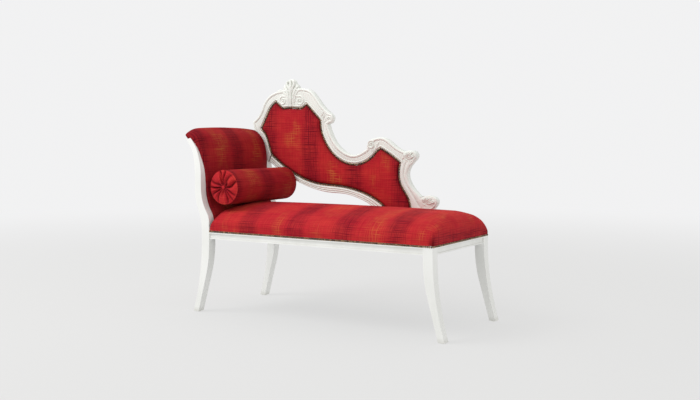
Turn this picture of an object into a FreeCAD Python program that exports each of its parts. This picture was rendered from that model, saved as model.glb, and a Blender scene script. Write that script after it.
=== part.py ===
import FreeCAD, Part
import math
import os

# Recamier: a one-armed day bed with a carved, stepped back and a loose bolster.
# Head end at -X, foot end at +X, front at -Y, floor at Z = 0, millimetres.
# Every piece is drawn with X measured from the middle of the four posts; its
# placement then moves it so that the whole piece is centred over the origin.

doc = FreeCAD.newDocument("recamier")
sheet = doc.addObject("Spreadsheet::Sheet", "dimensions")

DRIVING = [
    ("mid_x", 23, "middle of the posts, off the middle of the whole piece"),
    ("post_span", 1246, "over the posts, along X"),
    ("post_depth", 576, "over the posts, along Y"),
    ("post_x", 45, "post section along X"),
    ("post_y", 47, "post section along Y"),
    ("foot_x", 31, "foot section along X"),
    ("foot_taper", 9, "what the foot loses along Y"),
    ("splay", 58, "how far a foot stands out past its post"),
    ("glide_thick", 3, "glide under each foot"),
    ("rail_low", 363, "underside of the seat rails"),
    ("nail_line", 400, "top of the rail's visible face"),
    ("rail_top", 420, "top of the seat rails, under the cover"),
    ("rail_thick", 34, "seat rail, front to back"),
    ("rebate", 5, "room for the cover on posts and rails"),
    ("seat_low", 404, "lower edge of the seat cover"),
    ("seat_crown", 533, "top of the seat"),
    ("cloth", 3, "cover with its lining"),
    ("back_thick", 31, "back frame, front to back"),
    ("carving_proud", 11, "carving in front of the back frame"),
    ("arm_crown", 14, "arm pad in front of its posts"),
    ("scroll_top", 848, "top of the front scroll post"),
    ("nail_pitch", 9.7, "upholstery nails, centre to centre"),
    ("nail_wide", 9, "upholstery nail head"),
    ("nail_high", 3, "upholstery nail head, off the cloth"),
    ("dowel_wide", 10, "dowel diameter"),
    ("dowel_long", 50, "dowel length"),
    ("bolster_wide", 168, "bolster diameter"),
    ("bolster_long", 500, "bolster, over its ends"),
    ("bolster_x", -514, "bolster axis"),
    ("bolster_y", -10, "middle of the bolster"),
    ("bolster_clear", 0.5, "bolster above the seat beneath it"),
]

for row, (alias, value, note) in enumerate(DRIVING, 1):
    sheet.set("A%d" % row, note)
    sheet.set("B%d" % row, str(value))
    sheet.setAlias("B%d" % row, alias)
doc.recompute()


def dim(alias):
    """Value of one driving dimension."""
    return float(getattr(sheet, alias))


nodes = []

HALF_X = dim("post_span") / 2
HALF_Y = dim("post_depth") / 2
POST_IN_X = HALF_X - dim("post_x")
POST_IN_Y = HALF_Y - dim("post_y")
RAIL_LOW = dim("rail_low")
RAIL_TOP = dim("rail_top")
NAIL_LINE = dim("nail_line")
SEAT_LOW = dim("seat_low")
CLOTH = dim("cloth")
BACK_FACE = HALF_Y
BACK_FRONT = HALF_Y - dim("back_thick")


def bind(obj, **expressions):
    """Binds properties of an object to the sheet."""
    for name, expression in expressions.items():
        obj.setExpression(name, expression)
    return obj


def place(obj, name):
    """Names a finished piece and moves it from the posts' frame to the whole's."""
    obj.Label = name
    obj.setExpression(".Placement.Base.x", "dimensions.mid_x")
    nodes.append(obj)
    return obj


def vector(u, v):
    return FreeCAD.Vector(u, v, 0)


def lines(points, closed=False):
    """Straight segments through flat points."""
    ends = points[1:] + points[:1] if closed else points[1:]
    return [Part.LineSegment(vector(*a), vector(*b)) for a, b in zip(points, ends)]


def curve(points):
    """One smooth curve through flat points."""
    spline = Part.BSplineCurve()
    spline.interpolate([vector(*point) for point in points])
    return spline


def chain(start, heading, steps):
    """Tangent lines and arcs: (length,) goes straight, (radius, turn) bends.

    The heading is in degrees from straight up, towards -X; a positive turn adds to it.
    Gives the curves and the end point.
    """
    curves = []
    u, v = start
    for step in steps:
        a = math.radians(heading)
        if len(step) == 1:
            end = (u - step[0] * math.sin(a), v + step[0] * math.cos(a))
            curves.append(Part.LineSegment(vector(u, v), vector(*end)))
            u, v = end
            continue
        radius, turn = step
        side = 1 if turn > 0 else -1
        centre = (u - side * radius * math.cos(a), v - side * radius * math.sin(a))
        marks = []
        for part in (0.5, 1.0):
            b = math.radians(heading + turn * part)
            marks.append((centre[0] + side * radius * math.cos(b), centre[1] + side * radius * math.sin(b)))
        curves.append(Part.Arc(vector(u, v), vector(*marks[0]), vector(*marks[1])))
        u, v = marks[1]
        heading += turn
    return curves, (u, v)


def origin_plane(body, role):
    for feature in body.Origin.OriginFeatures:
        if feature.Role == role:
            return feature
    raise ValueError(role)


def padded_body(name, role, curves, length):
    """A body padded from one closed outline on an origin plane."""
    body = doc.addObject("PartDesign::Body", name + "_body")
    sketch = body.newObject("Sketcher::SketchObject", name + "_outline")
    sketch.AttachmentSupport = [(origin_plane(body, role), "")]
    sketch.MapMode = "FlatFace"
    sketch.addGeometry(curves, False)
    pad = body.newObject("PartDesign::Pad", name + "_pad")
    pad.Profile = sketch
    pad.setExpression("Length", length)
    sketch.Visibility = False
    return body


def moved(obj, x="0", y="0", z="0"):
    """Places a construction solid by expressions."""
    for axis, expression in (("x", x), ("y", y), ("z", z)):
        obj.setExpression(".Placement.Base." + axis, expression)
    return obj


def turned(obj, base, axis, degrees):
    """Places a construction solid by a point and a turn."""
    obj.Placement = FreeCAD.Placement(FreeCAD.Vector(*base), FreeCAD.Rotation(FreeCAD.Vector(*axis), degrees))
    return obj


def box(name, length, width, height):
    solid = doc.addObject("Part::Box", name)
    return bind(solid, Length=length, Width=width, Height=height)


def fixed_box(name, low, high):
    """A construction box between two corners."""
    solid = doc.addObject("Part::Box", name)
    solid.Length, solid.Width, solid.Height = [b - a for a, b in zip(low, high)]
    solid.Placement.Base = FreeCAD.Vector(*low)
    return solid


def group(name, parts):
    compound = doc.addObject("Part::Compound", name)
    compound.Links = parts
    return compound


def cut(name, base, tools):
    """The base less each tool in turn."""
    for index, tool in enumerate(tools):
        result = doc.addObject("Part::Cut", "%s_cut_%d" % (name, index))
        result.Base = base
        result.Tool = tool
        base = result
    return base


def feature(name, shape):
    obj = doc.addObject("Part::Feature", name + "_shape")
    obj.Shape = shape
    return obj


def solid_of(outline, low, high):
    """Pulls an outline drawn in X and Z through a range of Y."""
    wire = Part.Wire([c.toShape() for c in outline])
    face = Part.Face(wire)
    face.rotate(FreeCAD.Vector(), FreeCAD.Vector(1, 0, 0), 90)
    face.translate(FreeCAD.Vector(0, low, 0))
    return face.extrude(FreeCAD.Vector(0, high - low, 0))


def arc_rise(radius, run):
    """How far a circle leaves its tangent after a run along it."""
    return radius - math.sqrt(radius ** 2 - run ** 2)


# Dowels between the seat rails and the posts, two to a joint, staggered so that they miss in the post

def dowel(name, base, axis, degrees):
    pin = doc.addObject("Part::Cylinder", name)
    bind(pin, Radius="dimensions.dowel_wide / 2", Height="dimensions.dowel_long")
    return turned(pin, base, axis, degrees)


LONG_RISES, END_RISES = (12, 38), (25, 50)
DOWEL_DEPTH = dim("rebate") + dim("rail_thick") / 2 - 2


def rail_dowels():
    pins = []
    reach = dim("dowel_long") / 2
    middle_y = HALF_Y - DOWEL_DEPTH
    middle_x = HALF_X - DOWEL_DEPTH
    for side_x in (-1, 1):
        for side_y in (-1, 1):
            for rise in LONG_RISES:
                start = side_x * POST_IN_X - reach
                base = (start, side_y * middle_y, RAIL_LOW + rise)
                pins.append(dowel("rail_dowel_%d" % len(pins), base, (0, 1, 0), 90))
            for rise in END_RISES:
                start = side_y * POST_IN_Y + reach
                base = (side_x * middle_x, start, RAIL_LOW + rise)
                pins.append(dowel("rail_dowel_%d" % len(pins), base, (1, 0, 0), 90))
    return pins


rail_pins = group("rail_pins", rail_dowels())
place(group("rail_pins_placed", [rail_pins]), "rail_dowels")


# Right-hand legs: upright post to the rail, then a sabre curve outwards

ARC_TOP = 375
FOOT_LOW = dim("glide_thick")
INNER_BEND_TOP, INNER_BEND_LOW, INNER_BEND_OUT = 340, 190, 20


def leg_curves():
    """Outer and inner curves of a right-hand leg, both from the foot up."""
    splay = dim("splay")
    drop = ARC_TOP - FOOT_LOW
    radius = (drop ** 2 + splay ** 2) / (2 * splay)
    outer = Part.Arc(vector(HALF_X + splay, FOOT_LOW),
                     vector(HALF_X + arc_rise(radius, drop / 2), FOOT_LOW + drop / 2),
                     vector(HALF_X, ARC_TOP))
    fall = INNER_BEND_TOP - INNER_BEND_LOW
    bend = (fall ** 2 + INNER_BEND_OUT ** 2) / (2 * INNER_BEND_OUT)
    knee = (POST_IN_X + INNER_BEND_OUT, INNER_BEND_LOW)
    inner = [Part.LineSegment(vector(HALF_X + splay - dim("foot_x"), FOOT_LOW), vector(*knee)),
             Part.Arc(vector(*knee), vector(POST_IN_X + arc_rise(bend, fall / 2), INNER_BEND_LOW + fall / 2),
                      vector(POST_IN_X, INNER_BEND_TOP))]
    return outer, inner


def taper_tool(name, side_y):
    """Wedge that narrows a leg along Y, on the face that looks inwards."""
    inside = side_y * POST_IN_Y
    foot = side_y * (POST_IN_Y + dim("foot_taper"))
    outline = [(inside, RAIL_LOW), (foot, 0), (inside, 0)]
    wire = Part.makePolygon([FreeCAD.Vector(-HALF_X - 200, y, z) for y, z in outline + outline[:1]])
    return feature(name, Part.Face(wire).extrude(FreeCAD.Vector(2 * HALF_X + 400, 0, 0)))


def cover_rebate(name, side_y):
    """Room for the seat cover on the outer face of a post's top."""
    edge = dim("rebate")
    low = side_y * HALF_Y if side_y < 0 else HALF_Y - edge
    return fixed_box(name, (HALF_X - 100, low, NAIL_LINE), (HALF_X + 1, low + edge, RAIL_TOP + 1))


def right_leg(name, side_y):
    outer, inner = leg_curves()
    lip = HALF_X - dim("rebate")
    outline = [outer]
    outline += lines([(HALF_X, ARC_TOP), (HALF_X, NAIL_LINE), (lip, NAIL_LINE), (lip, RAIL_TOP),
                      (POST_IN_X, RAIL_TOP), (POST_IN_X, INNER_BEND_TOP)])
    outline += inner
    outline += lines([(HALF_X + dim("splay") - dim("foot_x"), FOOT_LOW), (HALF_X + dim("splay"), FOOT_LOW)])
    body = padded_body(name, "XZ_Plane", outline, "dimensions.post_y")
    back = "-dimensions.post_depth / 2 + dimensions.post_y" if side_y < 0 else "dimensions.post_depth / 2"
    moved(body, y=back)
    tools = [taper_tool(name + "_taper", side_y), cover_rebate(name + "_rebate", side_y), rail_pins]
    return place(cut(name, body, tools), name)


right_leg("leg_front_right", -1)
right_leg("leg_back_right", 1)


# Left-hand posts: leg and arm scroll in one curved piece

SWEEP = 23.2
SCROLL_OUTER = [(254, SWEEP), (254, -SWEEP), (90,), (365, 13), (100, 25), (40,)]
SCROLL_INNER = [(87, 33), (211, -33), (66,), (300, 21.5), (200, 15), (25,)]
INNER_BEND = 445
BACK_JOINT = 727


def offset_steps(steps, away):
    """The same chain drawn to its right (+X) by a distance."""
    result = []
    for step in steps:
        if len(step) == 1:
            result.append(step)
        else:
            result.append((step[0] + (away if step[1] > 0 else -away), step[1]))
    return result


def outer_line(away):
    """Curve at a distance inside the scroll post's outer side, from the nail line up."""
    return chain((-HALF_X + away, NAIL_LINE), 0, offset_steps(SCROLL_OUTER, away))


def scroll_post(name, side_y):
    outer_leg, inner_leg = leg_curves()
    mirror = FreeCAD.Matrix()
    mirror.A11 = -1
    outer_leg.transform(mirror)
    for piece in inner_leg:
        piece.transform(mirror)
    outer, outer_end = outer_line(0)
    inner, inner_end = chain((-POST_IN_X, INNER_BEND), 0, SCROLL_INNER)
    foot_out = -HALF_X - dim("splay")
    outline = [outer_leg] + lines([(-HALF_X, ARC_TOP), (-HALF_X, NAIL_LINE)]) + outer
    outline += lines([outer_end, inner_end]) + inner
    outline += lines([(-POST_IN_X, INNER_BEND), (-POST_IN_X, INNER_BEND_TOP)]) + inner_leg
    outline += lines([(foot_out + dim("foot_x"), FOOT_LOW), (foot_out, FOOT_LOW)])
    body = padded_body(name, "XZ_Plane", outline, "dimensions.post_y")
    back = "-dimensions.post_depth / 2 + dimensions.post_y" if side_y < 0 else "dimensions.post_depth / 2"
    moved(body, y=back)
    tools = [taper_tool(name + "_taper", side_y), rail_pins]
    if side_y > 0:
        tools.append(fixed_box(name + "_top", (-900, 0, BACK_JOINT), (-400, HALF_Y + 1, 1000)))
        tools.append(back_pins)
    return place(cut(name, body, tools), name)


# Joints of the back frame: a dowel across each, given by its middle and the way it points

BACK_MIDDLE = (BACK_FACE + BACK_FRONT) / 2
FOOT_HIGH = 460
BACK_JOINTS = [
    (-645, BACK_JOINT, 0),
    (-634, 1011, 40),
    (-272, 928, 22),
    (3, 775, 44),
    (208, 733, -7),
    (-608, 741, 114),
    (91, FOOT_HIGH, 0),
    (281, FOOT_HIGH, 0),
]


def back_dowels():
    pins = []
    half = dim("dowel_long") / 2
    for x, z, lean in BACK_JOINTS:
        a = math.radians(lean)
        base = (x - half * math.sin(a), BACK_MIDDLE, z - half * math.cos(a))
        pins.append(dowel("back_dowel_%d" % len(pins), base, (0, 1, 0), lean))
    return pins


back_pins = group("back_pins", back_dowels())
place(group("back_pins_placed", [back_pins]), "back_frame_dowels")

scroll_post("scroll_post_front", -1)
scroll_post("scroll_post_back", 1)


# Glides under the feet

GLIDE_RADIUS = 11


def glides():
    discs = []
    x = HALF_X + dim("splay") - dim("foot_x") / 2
    for side_x in (-1, 1):
        for side_y in (-1, 1):
            disc = doc.addObject("Part::Cylinder", "glide_%d" % len(discs))
            disc.Radius = GLIDE_RADIUS
            bind(disc, Height="dimensions.glide_thick")
            y = side_y * (HALF_Y - (dim("post_y") - dim("foot_taper")) / 2)
            turned(disc, (side_x * x, y, 0), (0, 0, 1), 0)
            discs.append(disc)
    return discs


place(group("glide_group", glides()), "foot_glides")


# Seat rails: a top band flush with the posts, a sunk face, a small step at the foot

BAND_LOW, STEP_HIGH = 390, 369
SUNK, STEP = 7, 4


def rail_section(outside, direction):
    """Section of a rail: distances from its outside face, heights in Z."""
    inner = dim("rail_thick")
    corners = [(inner, RAIL_LOW), (STEP, RAIL_LOW), (STEP, STEP_HIGH), (SUNK, STEP_HIGH), (SUNK, BAND_LOW),
               (0, BAND_LOW), (0, NAIL_LINE), (dim("rebate"), NAIL_LINE), (dim("rebate"), RAIL_TOP),
               (inner, RAIL_TOP)]
    return lines([(outside - direction * depth, z) for depth, z in corners], closed=True)


def long_rail(name, side_y):
    body = padded_body(name, "YZ_Plane", rail_section(side_y * HALF_Y, side_y),
                       "dimensions.post_span - 2 * dimensions.post_x")
    moved(body, x="-dimensions.post_span / 2 + dimensions.post_x")
    tools = [rail_pins, block_screws]
    if side_y > 0:
        tools.append(back_screws)
    return place(cut(name, body, tools), name)


def end_rail(name, side_x):
    body = padded_body(name, "XZ_Plane", rail_section(side_x * HALF_X, side_x),
                       "dimensions.post_depth - 2 * dimensions.post_y")
    moved(body, y="dimensions.post_depth / 2 - dimensions.post_y")
    return place(cut(name, body, [rail_pins, block_screws]), name)


# Corner blocks glued and screwed inside the seat frame

BLOCK_ARM, BLOCK_LOW, BLOCK_HIGH, BLOCK_CHAMFER = 70, 368, 412, 12
RAIL_IN_X = HALF_X - dim("rail_thick")
RAIL_IN_Y = HALF_Y - dim("rail_thick")


def corner_blocks():
    blocks = []
    for side_x in (-1, 1):
        for side_y in (-1, 1):
            notch_x, notch_y = side_x * POST_IN_X, side_y * POST_IN_Y
            inner_x, inner_y = side_x * RAIL_IN_X, side_y * RAIL_IN_Y
            far_x, far_y = side_x * (RAIL_IN_X - BLOCK_ARM), side_y * (RAIL_IN_Y - BLOCK_ARM)
            corners = [(notch_x, inner_y), (notch_x, notch_y), (inner_x, notch_y), (inner_x, far_y),
                       (inner_x - side_x * BLOCK_CHAMFER, far_y), (far_x, inner_y - side_y * BLOCK_CHAMFER),
                       (far_x, inner_y)]
            curves = lines(corners, closed=True)
            high = str(BLOCK_HIGH - BLOCK_LOW)
            block = padded_body("corner_block_%d" % len(blocks), "XY_Plane", curves, high)
            blocks.append(moved(block, z=str(BLOCK_LOW)))
    return blocks


SCREW_RADIUS, SCREW_HEAD, HEAD_HIGH = 2.5, 4.5, 4
BLOCK_SCREW, FRAME_SCREW = 45, 75
BLOCK_SCREWS = [(43, 378), (47, 402)]
SCREW_IN = 24
FRAME_SCREWS_X = (130, 200, 310)


def screw(name, length, base, axis, degrees):
    shank = doc.addObject("Part::Cylinder", name + "_shank")
    shank.Radius, shank.Height = SCREW_RADIUS, length
    head = doc.addObject("Part::Cone", name + "_head")
    head.Radius1, head.Radius2, head.Height = SCREW_HEAD, SCREW_RADIUS, HEAD_HIGH
    whole = doc.addObject("Part::Fuse", name)
    whole.Base, whole.Tool = shank, head
    return turned(whole, base, axis, degrees)


def corner_screws():
    screws = []
    for side_x in (-1, 1):
        for side_y in (-1, 1):
            for away, z in BLOCK_SCREWS:
                base = (side_x * (RAIL_IN_X - away), side_y * (RAIL_IN_Y - SCREW_IN), z)
                screws.append(screw("corner_screw_%d" % len(screws), BLOCK_SCREW, base, (-side_y, 0, 0), 90))
    return screws


block_screws = group("block_screws", corner_screws())
place(group("block_screws_placed", [block_screws]), "corner_block_screws")
blocks = group("corner_block_group", corner_blocks())
place(cut("corner_blocks", blocks, [block_screws]), "corner_blocks")


def back_frame_screws():
    """Screws up through the back rail into the foot of the back frame."""
    return [screw("back_screw_%d" % i, FRAME_SCREW, (x, BACK_MIDDLE, RAIL_LOW), (0, 0, 1), 0)
            for i, x in enumerate(FRAME_SCREWS_X)]


back_screws = group("back_screws", back_frame_screws())
place(group("back_screws_placed", [back_screws]), "back_frame_screws")

long_rail("seat_rail_front", -1)
long_rail("seat_rail_back", 1)
end_rail("seat_rail_head", -1)
end_rail("seat_rail_foot", 1)

BRACE_WIDE, BRACE_HIGH, BRACE_RISE = 40, 36, 4
brace = box("brace_bar", str(BRACE_WIDE), "dimensions.post_depth - 2 * dimensions.rail_thick", str(BRACE_HIGH))
moved(brace, x=str(-BRACE_WIDE / 2), y="-dimensions.post_depth / 2 + dimensions.rail_thick",
      z="dimensions.rail_low + %d" % BRACE_RISE)
place(group("brace_group", [brace]), "seat_cross_brace")


# Back frame: flat curved rails jointed end to end, drawn as runs of points that share their ends

STEPPED_INNER = [(-614, 995), (-594, 1018), (-572, 1034)]
VOLUTE_LEFT = [(-572, 1034), (-550, 1014), (-526, 998)]
CREST_UNDER = [(-526, 998), (-478, 1002), (-433, 998)]
VOLUTE_RIGHT = [(-433, 998), (-402, 1002), (-380, 1019)]
CREST_OVER = [(-529, 1096), (-478, 1103), (-427, 1104)]
UPRIGHT_INNER = [(-668, 895), (-642, 868), (-619, 815), (-600, 760)]
DIP_INNER = [(-295, 937), (-294, 905), (-266, 827), (-205, 754), (-110, 713), (-16, 731), (22, 757)]
PEAK_LEFT = [(22, 757), (45, 782), (64, 794)]
PEAK_RIGHT = [(64, 794), (126, 758), (169, 729)]
END_INNER = [(169, 729), (162, 680), (177, 613), (210, 562), (226, 515), (228, FOOT_HIGH)]
LOWER_TOP = [(-600, 760), (-518, 701), (-422, 650), (-297, 615), (-187, 608), (-57, 584), (42, 543),
             (95, 500), (118, FOOT_HIGH)]
LOWER_UNDER = [(64, FOOT_HIGH), (8, 512), (-68, 547), (-145, 565), (-236, 569), (-347, 589), (-435, 619),
               (-571, 689), (-617, 722)]

BACK_RAILS = {
    "back_left_upright": [
        [(-664, BACK_JOINT), (-667, 775), (-692, 838), (-719, 895), (-726, 933)],
        [(-726, 933), (-691, 962), (-654, 1028)],
        [(-654, 1028), (-614, 995)],
        [(-614, 995), (-668, 895)],
        UPRIGHT_INNER,
        [(-600, 760), (-617, 722)],
        [(-617, 722), (-626, BACK_JOINT)]],
    "back_crest_rail": [
        [(-654, 1028), (-634, 1054), (-587, 1084), (-529, 1096)],
        CREST_OVER,
        [(-427, 1104), (-358, 1092), (-321, 1058), (-272, 1001), (-240, 975)],
        [(-240, 975), (-222, 955), (-230, 928), (-250, 919)],
        [(-250, 919), (-295, 937)],
        [(-295, 937), (-380, 1019)],
        VOLUTE_RIGHT[::-1], CREST_UNDER[::-1], VOLUTE_LEFT[::-1], STEPPED_INNER[::-1]],
    "back_dip_rail": [
        [(-250, 919), (-223, 853), (-169, 790), (-86, 763), (-16, 794)],
        [(-16, 794), (22, 757)],
        DIP_INNER[::-1]],
    "back_peak_rail": [
        [(-16, 794), (-12, 820), (10, 842), (36, 848)],
        [(36, 848), (64, 852), (98, 841), (160, 798), (198, 782)],
        [(198, 782), (226, 788), (253, 782), (263, 762), (248, 738)],
        [(248, 738), (169, 729)],
        PEAK_RIGHT[::-1], PEAK_LEFT[::-1]],
    "back_end_rail": [
        [(248, 738), (226, 713), (213, 684), (218, 645), (254, 593), (287, 563)],
        [(287, 563), (320, 572), (352, 568), (373, 549), (367, 525)],
        [(367, 525), (345, 495), (335, FOOT_HIGH)],
        [(335, FOOT_HIGH), (228, FOOT_HIGH)],
        END_INNER[::-1]],
    "back_lower_rail": [
        LOWER_TOP,
        [(118, FOOT_HIGH), (64, FOOT_HIGH)],
        LOWER_UNDER],
    "back_foot_rail": [
        [(60, RAIL_TOP), (335, RAIL_TOP), (335, FOOT_HIGH), (60, FOOT_HIGH)]],
}


def run_curves(runs):
    """Curves of a closed outline: two points make a line, more make a smooth curve."""
    curves = []
    for run in runs:
        curves += lines(run) if len(run) == 2 else [curve(run)]
    if runs[-1][-1] != runs[0][0]:
        curves += lines([runs[-1][-1], runs[0][0]])
    return curves


def back_rail(name, runs):
    curves = lines(runs[0], closed=True) if len(runs) == 1 else run_curves(runs)
    body = padded_body(name, "XZ_Plane", curves, "dimensions.back_thick")
    moved(body, y="dimensions.post_depth / 2")
    return place(cut(name, body, [back_pins, back_screws]), name)


for rail_name, rail_runs in BACK_RAILS.items():
    back_rail(rail_name, rail_runs)


# Carvings: relief on the frame's front, and the palmette that stands above the crest

RELIEF_BACK, RELIEF_FRONT = BACK_FRONT, BACK_FRONT - dim("carving_proud")
PALMETTE = [
    [(-529, 1096), (-516, 1127), (-503, 1110)],
    [(-503, 1110), (-500, 1136), (-484, 1153), (-470, 1154), (-456, 1144), (-447, 1128)],
    [(-447, 1128), (-436, 1120), (-427, 1104)],
    CREST_OVER[::-1]]
STEM = [(-503, 1110), (-512, 1070), (-498, 1014), (-456, 1014), (-438, 1066), (-447, 1128), (-470, 1150),
        (-497, 1140)]
BRIDGE = [(-500, 1112), (-450, 1112), (-460, 1144), (-490, 1144)]
PALMETTE_THICK, PALMETTE_IN = 22, 7
VOLUTES = [(-526, 1042, 25), (-421, 1040, 25)]


def fused(name, base, tool):
    whole = doc.addObject("Part::Fuse", name)
    whole.Base, whole.Tool = base, tool
    return whole


def relief_disc(name, x, z, radius):
    disc = doc.addObject("Part::Cylinder", name)
    disc.Radius = radius
    bind(disc, Height="dimensions.carving_proud")
    return turned(disc, (x, RELIEF_BACK, z), (1, 0, 0), 90)


def relief_lobes(name, outline, discs):
    """A carving in relief: a flat leaf shape with round bosses fused to it."""
    whole = feature(name + "_leaf", solid_of(lines(outline, closed=True), RELIEF_FRONT, RELIEF_BACK))
    for index, disc in enumerate(discs):
        whole = fused("%s_join_%d" % (name, index), whole, relief_disc("%s_boss_%d" % (name, index), *disc))
    return whole


palmette_plate = padded_body("palmette", "XZ_Plane", run_curves(PALMETTE), str(PALMETTE_THICK))
moved(palmette_plate, y="dimensions.post_depth / 2 - %d" % PALMETTE_IN)
bridge = feature("palmette_bridge", solid_of(lines(BRIDGE, closed=True), RELIEF_BACK,
                                             BACK_FACE - PALMETTE_IN - PALMETTE_THICK + 1))
crest = fused("crest_whole", relief_lobes("crest_relief", STEM, VOLUTES), palmette_plate)
place(fused("crest_joined", crest, bridge), "crest_carving")
place(relief_lobes("shoulder", [(-290, 965), (-262, 990), (-232, 965), (-250, 925), (-280, 925)],
                   [(-234, 949, 26)]), "shoulder_carving")
place(relief_lobes("peak_leaf", [(-14, 800), (6, 838), (60, 848), (52, 812), (24, 776)], [(14, 815, 24)]),
      "peak_leaf_carving")
place(relief_lobes("knob", [(172, 745), (178, 780), (224, 786), (252, 745), (214, 700), (196, 720)],
                   [(232, 762, 24)]), "knob_carving")
place(relief_lobes("end_leaf", [(270, 560), (300, 570), (350, 560), (352, 525), (300, 520), (262, 530)],
                   [(338, 546, 25)]), "end_carving")


# Room in the seat for the back frame's foot and for the lower end of its panel

NOTCH_HIGH = 700
FRAME_NOTCH = [(57, NAIL_LINE), (57, 459), (40, 474), (20, 492), (20, NOTCH_HIGH), (380, NOTCH_HIGH),
               (380, 522), (350, 494), (338, FOOT_HIGH), (338, NAIL_LINE)]
PANEL_NOTCH = [(115, FOOT_HIGH - 1), (90, 502), (20, 540), (20, NOTCH_HIGH), (231, NOTCH_HIGH),
               (231, FOOT_HIGH - 1)]
CLEAR = 0.3
PANEL_CROWN = 13
notch = feature("back_notch", solid_of(lines(FRAME_NOTCH, closed=True), BACK_FRONT - CLEAR, HALF_Y + 20))
panel_notch = feature("panel_notch", solid_of(lines(PANEL_NOTCH, closed=True),
                                              BACK_FRONT - PANEL_CROWN - 2 * CLEAR, HALF_Y + 20))


# Webbing over the rails: strips one way, then the other, and a hessian over both

WEB_WIDE, WEB_THICK = 50, 2
TACKED_IN = 8
ACROSS_COUNT, ACROSS_FIRST, ACROSS_STEP = 9, -520, 130
ALONG_COUNT, ALONG_FIRST, ALONG_STEP = 4, -180, 120
WEB_OVER_POST = 30
HESSIAN_IN, HESSIAN_THICK = 10, 1
DUST_IN, DUST_THICK, DUST_NOTCH = 12, 1, 60


def webbing():
    strips = []
    reach_x, reach_y = HALF_X - TACKED_IN, HALF_Y - TACKED_IN
    for i in range(ACROSS_COUNT):
        x = ACROSS_FIRST + i * ACROSS_STEP - WEB_WIDE / 2
        low, high = (x, -reach_y, RAIL_TOP), (x + WEB_WIDE, reach_y, RAIL_TOP + WEB_THICK)
        strips.append(fixed_box("web_across_%d" % i, low, high))
    for i in range(ALONG_COUNT):
        y = ALONG_FIRST + i * ALONG_STEP - WEB_WIDE / 2
        low = (-POST_IN_X - WEB_OVER_POST, y, RAIL_TOP + WEB_THICK)
        high = (reach_x, y + WEB_WIDE, RAIL_TOP + 2 * WEB_THICK)
        strips.append(fixed_box("web_along_%d" % i, low, high))
    return strips


place(cut("webbing", group("webbing_group", webbing()), [notch]), "seat_webbing")
HESSIAN = RAIL_TOP + 2 * WEB_THICK
hessian = fixed_box("hessian_sheet", (-POST_IN_X, -HALF_Y + HESSIAN_IN, HESSIAN),
                    (HALF_X - HESSIAN_IN, HALF_Y - HESSIAN_IN, HESSIAN + HESSIAN_THICK))
place(cut("hessian", hessian, [notch]), "seat_hessian")
dust = fixed_box("dust_sheet", (-RAIL_IN_X - DUST_IN, -RAIL_IN_Y - DUST_IN, RAIL_LOW - DUST_THICK),
                 (RAIL_IN_X + DUST_IN, RAIL_IN_Y + DUST_IN, RAIL_LOW))
posts_gap = group("dust_corners", [
    fixed_box("dust_corner_%d" % i, (x, y, RAIL_LOW - 5), (x + DUST_NOTCH, y + DUST_NOTCH, RAIL_LOW + 5))
    for i, (x, y) in enumerate([(POST_IN_X, POST_IN_Y), (-POST_IN_X - DUST_NOTCH, POST_IN_Y),
                                (POST_IN_X, -POST_IN_Y - DUST_NOTCH),
                                (-POST_IN_X - DUST_NOTCH, -POST_IN_Y - DUST_NOTCH)])])
place(cut("dust_cover", dust, [posts_gap]), "dust_cover")


# Back upholstery: a board in the frame, foam with a crown, a cover over it and a cloth behind

PANEL_RUNS = [
    [(-668, 895), (-614, 995)], STEPPED_INNER, VOLUTE_LEFT, CREST_UNDER, VOLUTE_RIGHT,
    [(-380, 1019), (-295, 937)], DIP_INNER, PEAK_LEFT, PEAK_RIGHT, END_INNER,
    [(228, FOOT_HIGH), (118, FOOT_HIGH)], LOWER_TOP[::-1], UPRIGHT_INNER[::-1]]
PANEL_STEP, PANEL_LEAST = 22, 4
MITRE_LIMIT = 1.8


def panel_points(inset):
    """The panel's outline as a polygon, drawn in by a distance."""
    points = []
    for run in PANEL_RUNS:
        along = (lines(run) if len(run) == 2 else [curve(run)])[0]
        count = max(PANEL_LEAST if len(run) > 2 else 1, round(along.length() / PANEL_STEP))
        points += [(p.x, p.y) for p in along.discretize(count + 1)[:-1]]
    result = []
    for i, (x, z) in enumerate(points):
        before, after = points[i - 1], points[(i + 1) % len(points)]
        a = math.atan2(z - before[1], x - before[0])
        b = math.atan2(after[1] - z, after[0] - x)
        turn = (b - a + math.pi) % (2 * math.pi) - math.pi
        middle = a + turn / 2 - math.pi / 2
        reach = inset * min(1 / math.cos(turn / 2), MITRE_LIMIT)
        result.append((x + reach * math.cos(middle), z + reach * math.sin(middle)))
    return result


def crowned_panel(rings):
    """A solid through rings of the panel's outline: each is an inset and a place in Y."""
    wires = []
    for inset, y in rings:
        corners = [FreeCAD.Vector(x, y, z) for x, z in panel_points(inset)]
        wires.append(Part.makePolygon(corners + corners[:1]))
    return Part.makeLoft(wires, True, True)


BOARD_THICK = 6
BOARD_FRONT = BACK_FRONT + BOARD_THICK
EDGE_CLEAR, FOAM_CLEAR = 1.2, 1.8
board_rings = [(EDGE_CLEAR, BOARD_FRONT), (EDGE_CLEAR, BOARD_FRONT + BOARD_THICK)]
back_board = feature("back_board", crowned_panel(board_rings))
place(back_board, "back_panel_board")
foam_rings = [(FOAM_CLEAR, BOARD_FRONT), (FOAM_CLEAR, BACK_FRONT + 1), (7, BACK_FRONT - 7),
              (15, BACK_FRONT - 10.5)]
cover_rings = [(EDGE_CLEAR, BOARD_FRONT), (EDGE_CLEAR, BACK_FRONT), (5, BACK_FRONT - 8),
               (15, BACK_FRONT - PANEL_CROWN)]
back_foam = feature("back_foam", crowned_panel(foam_rings))
place(back_foam, "back_foam")
foam_tool = feature("back_foam_room", crowned_panel([(FOAM_CLEAR, BOARD_FRONT + 2)] + foam_rings[1:]))
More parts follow.
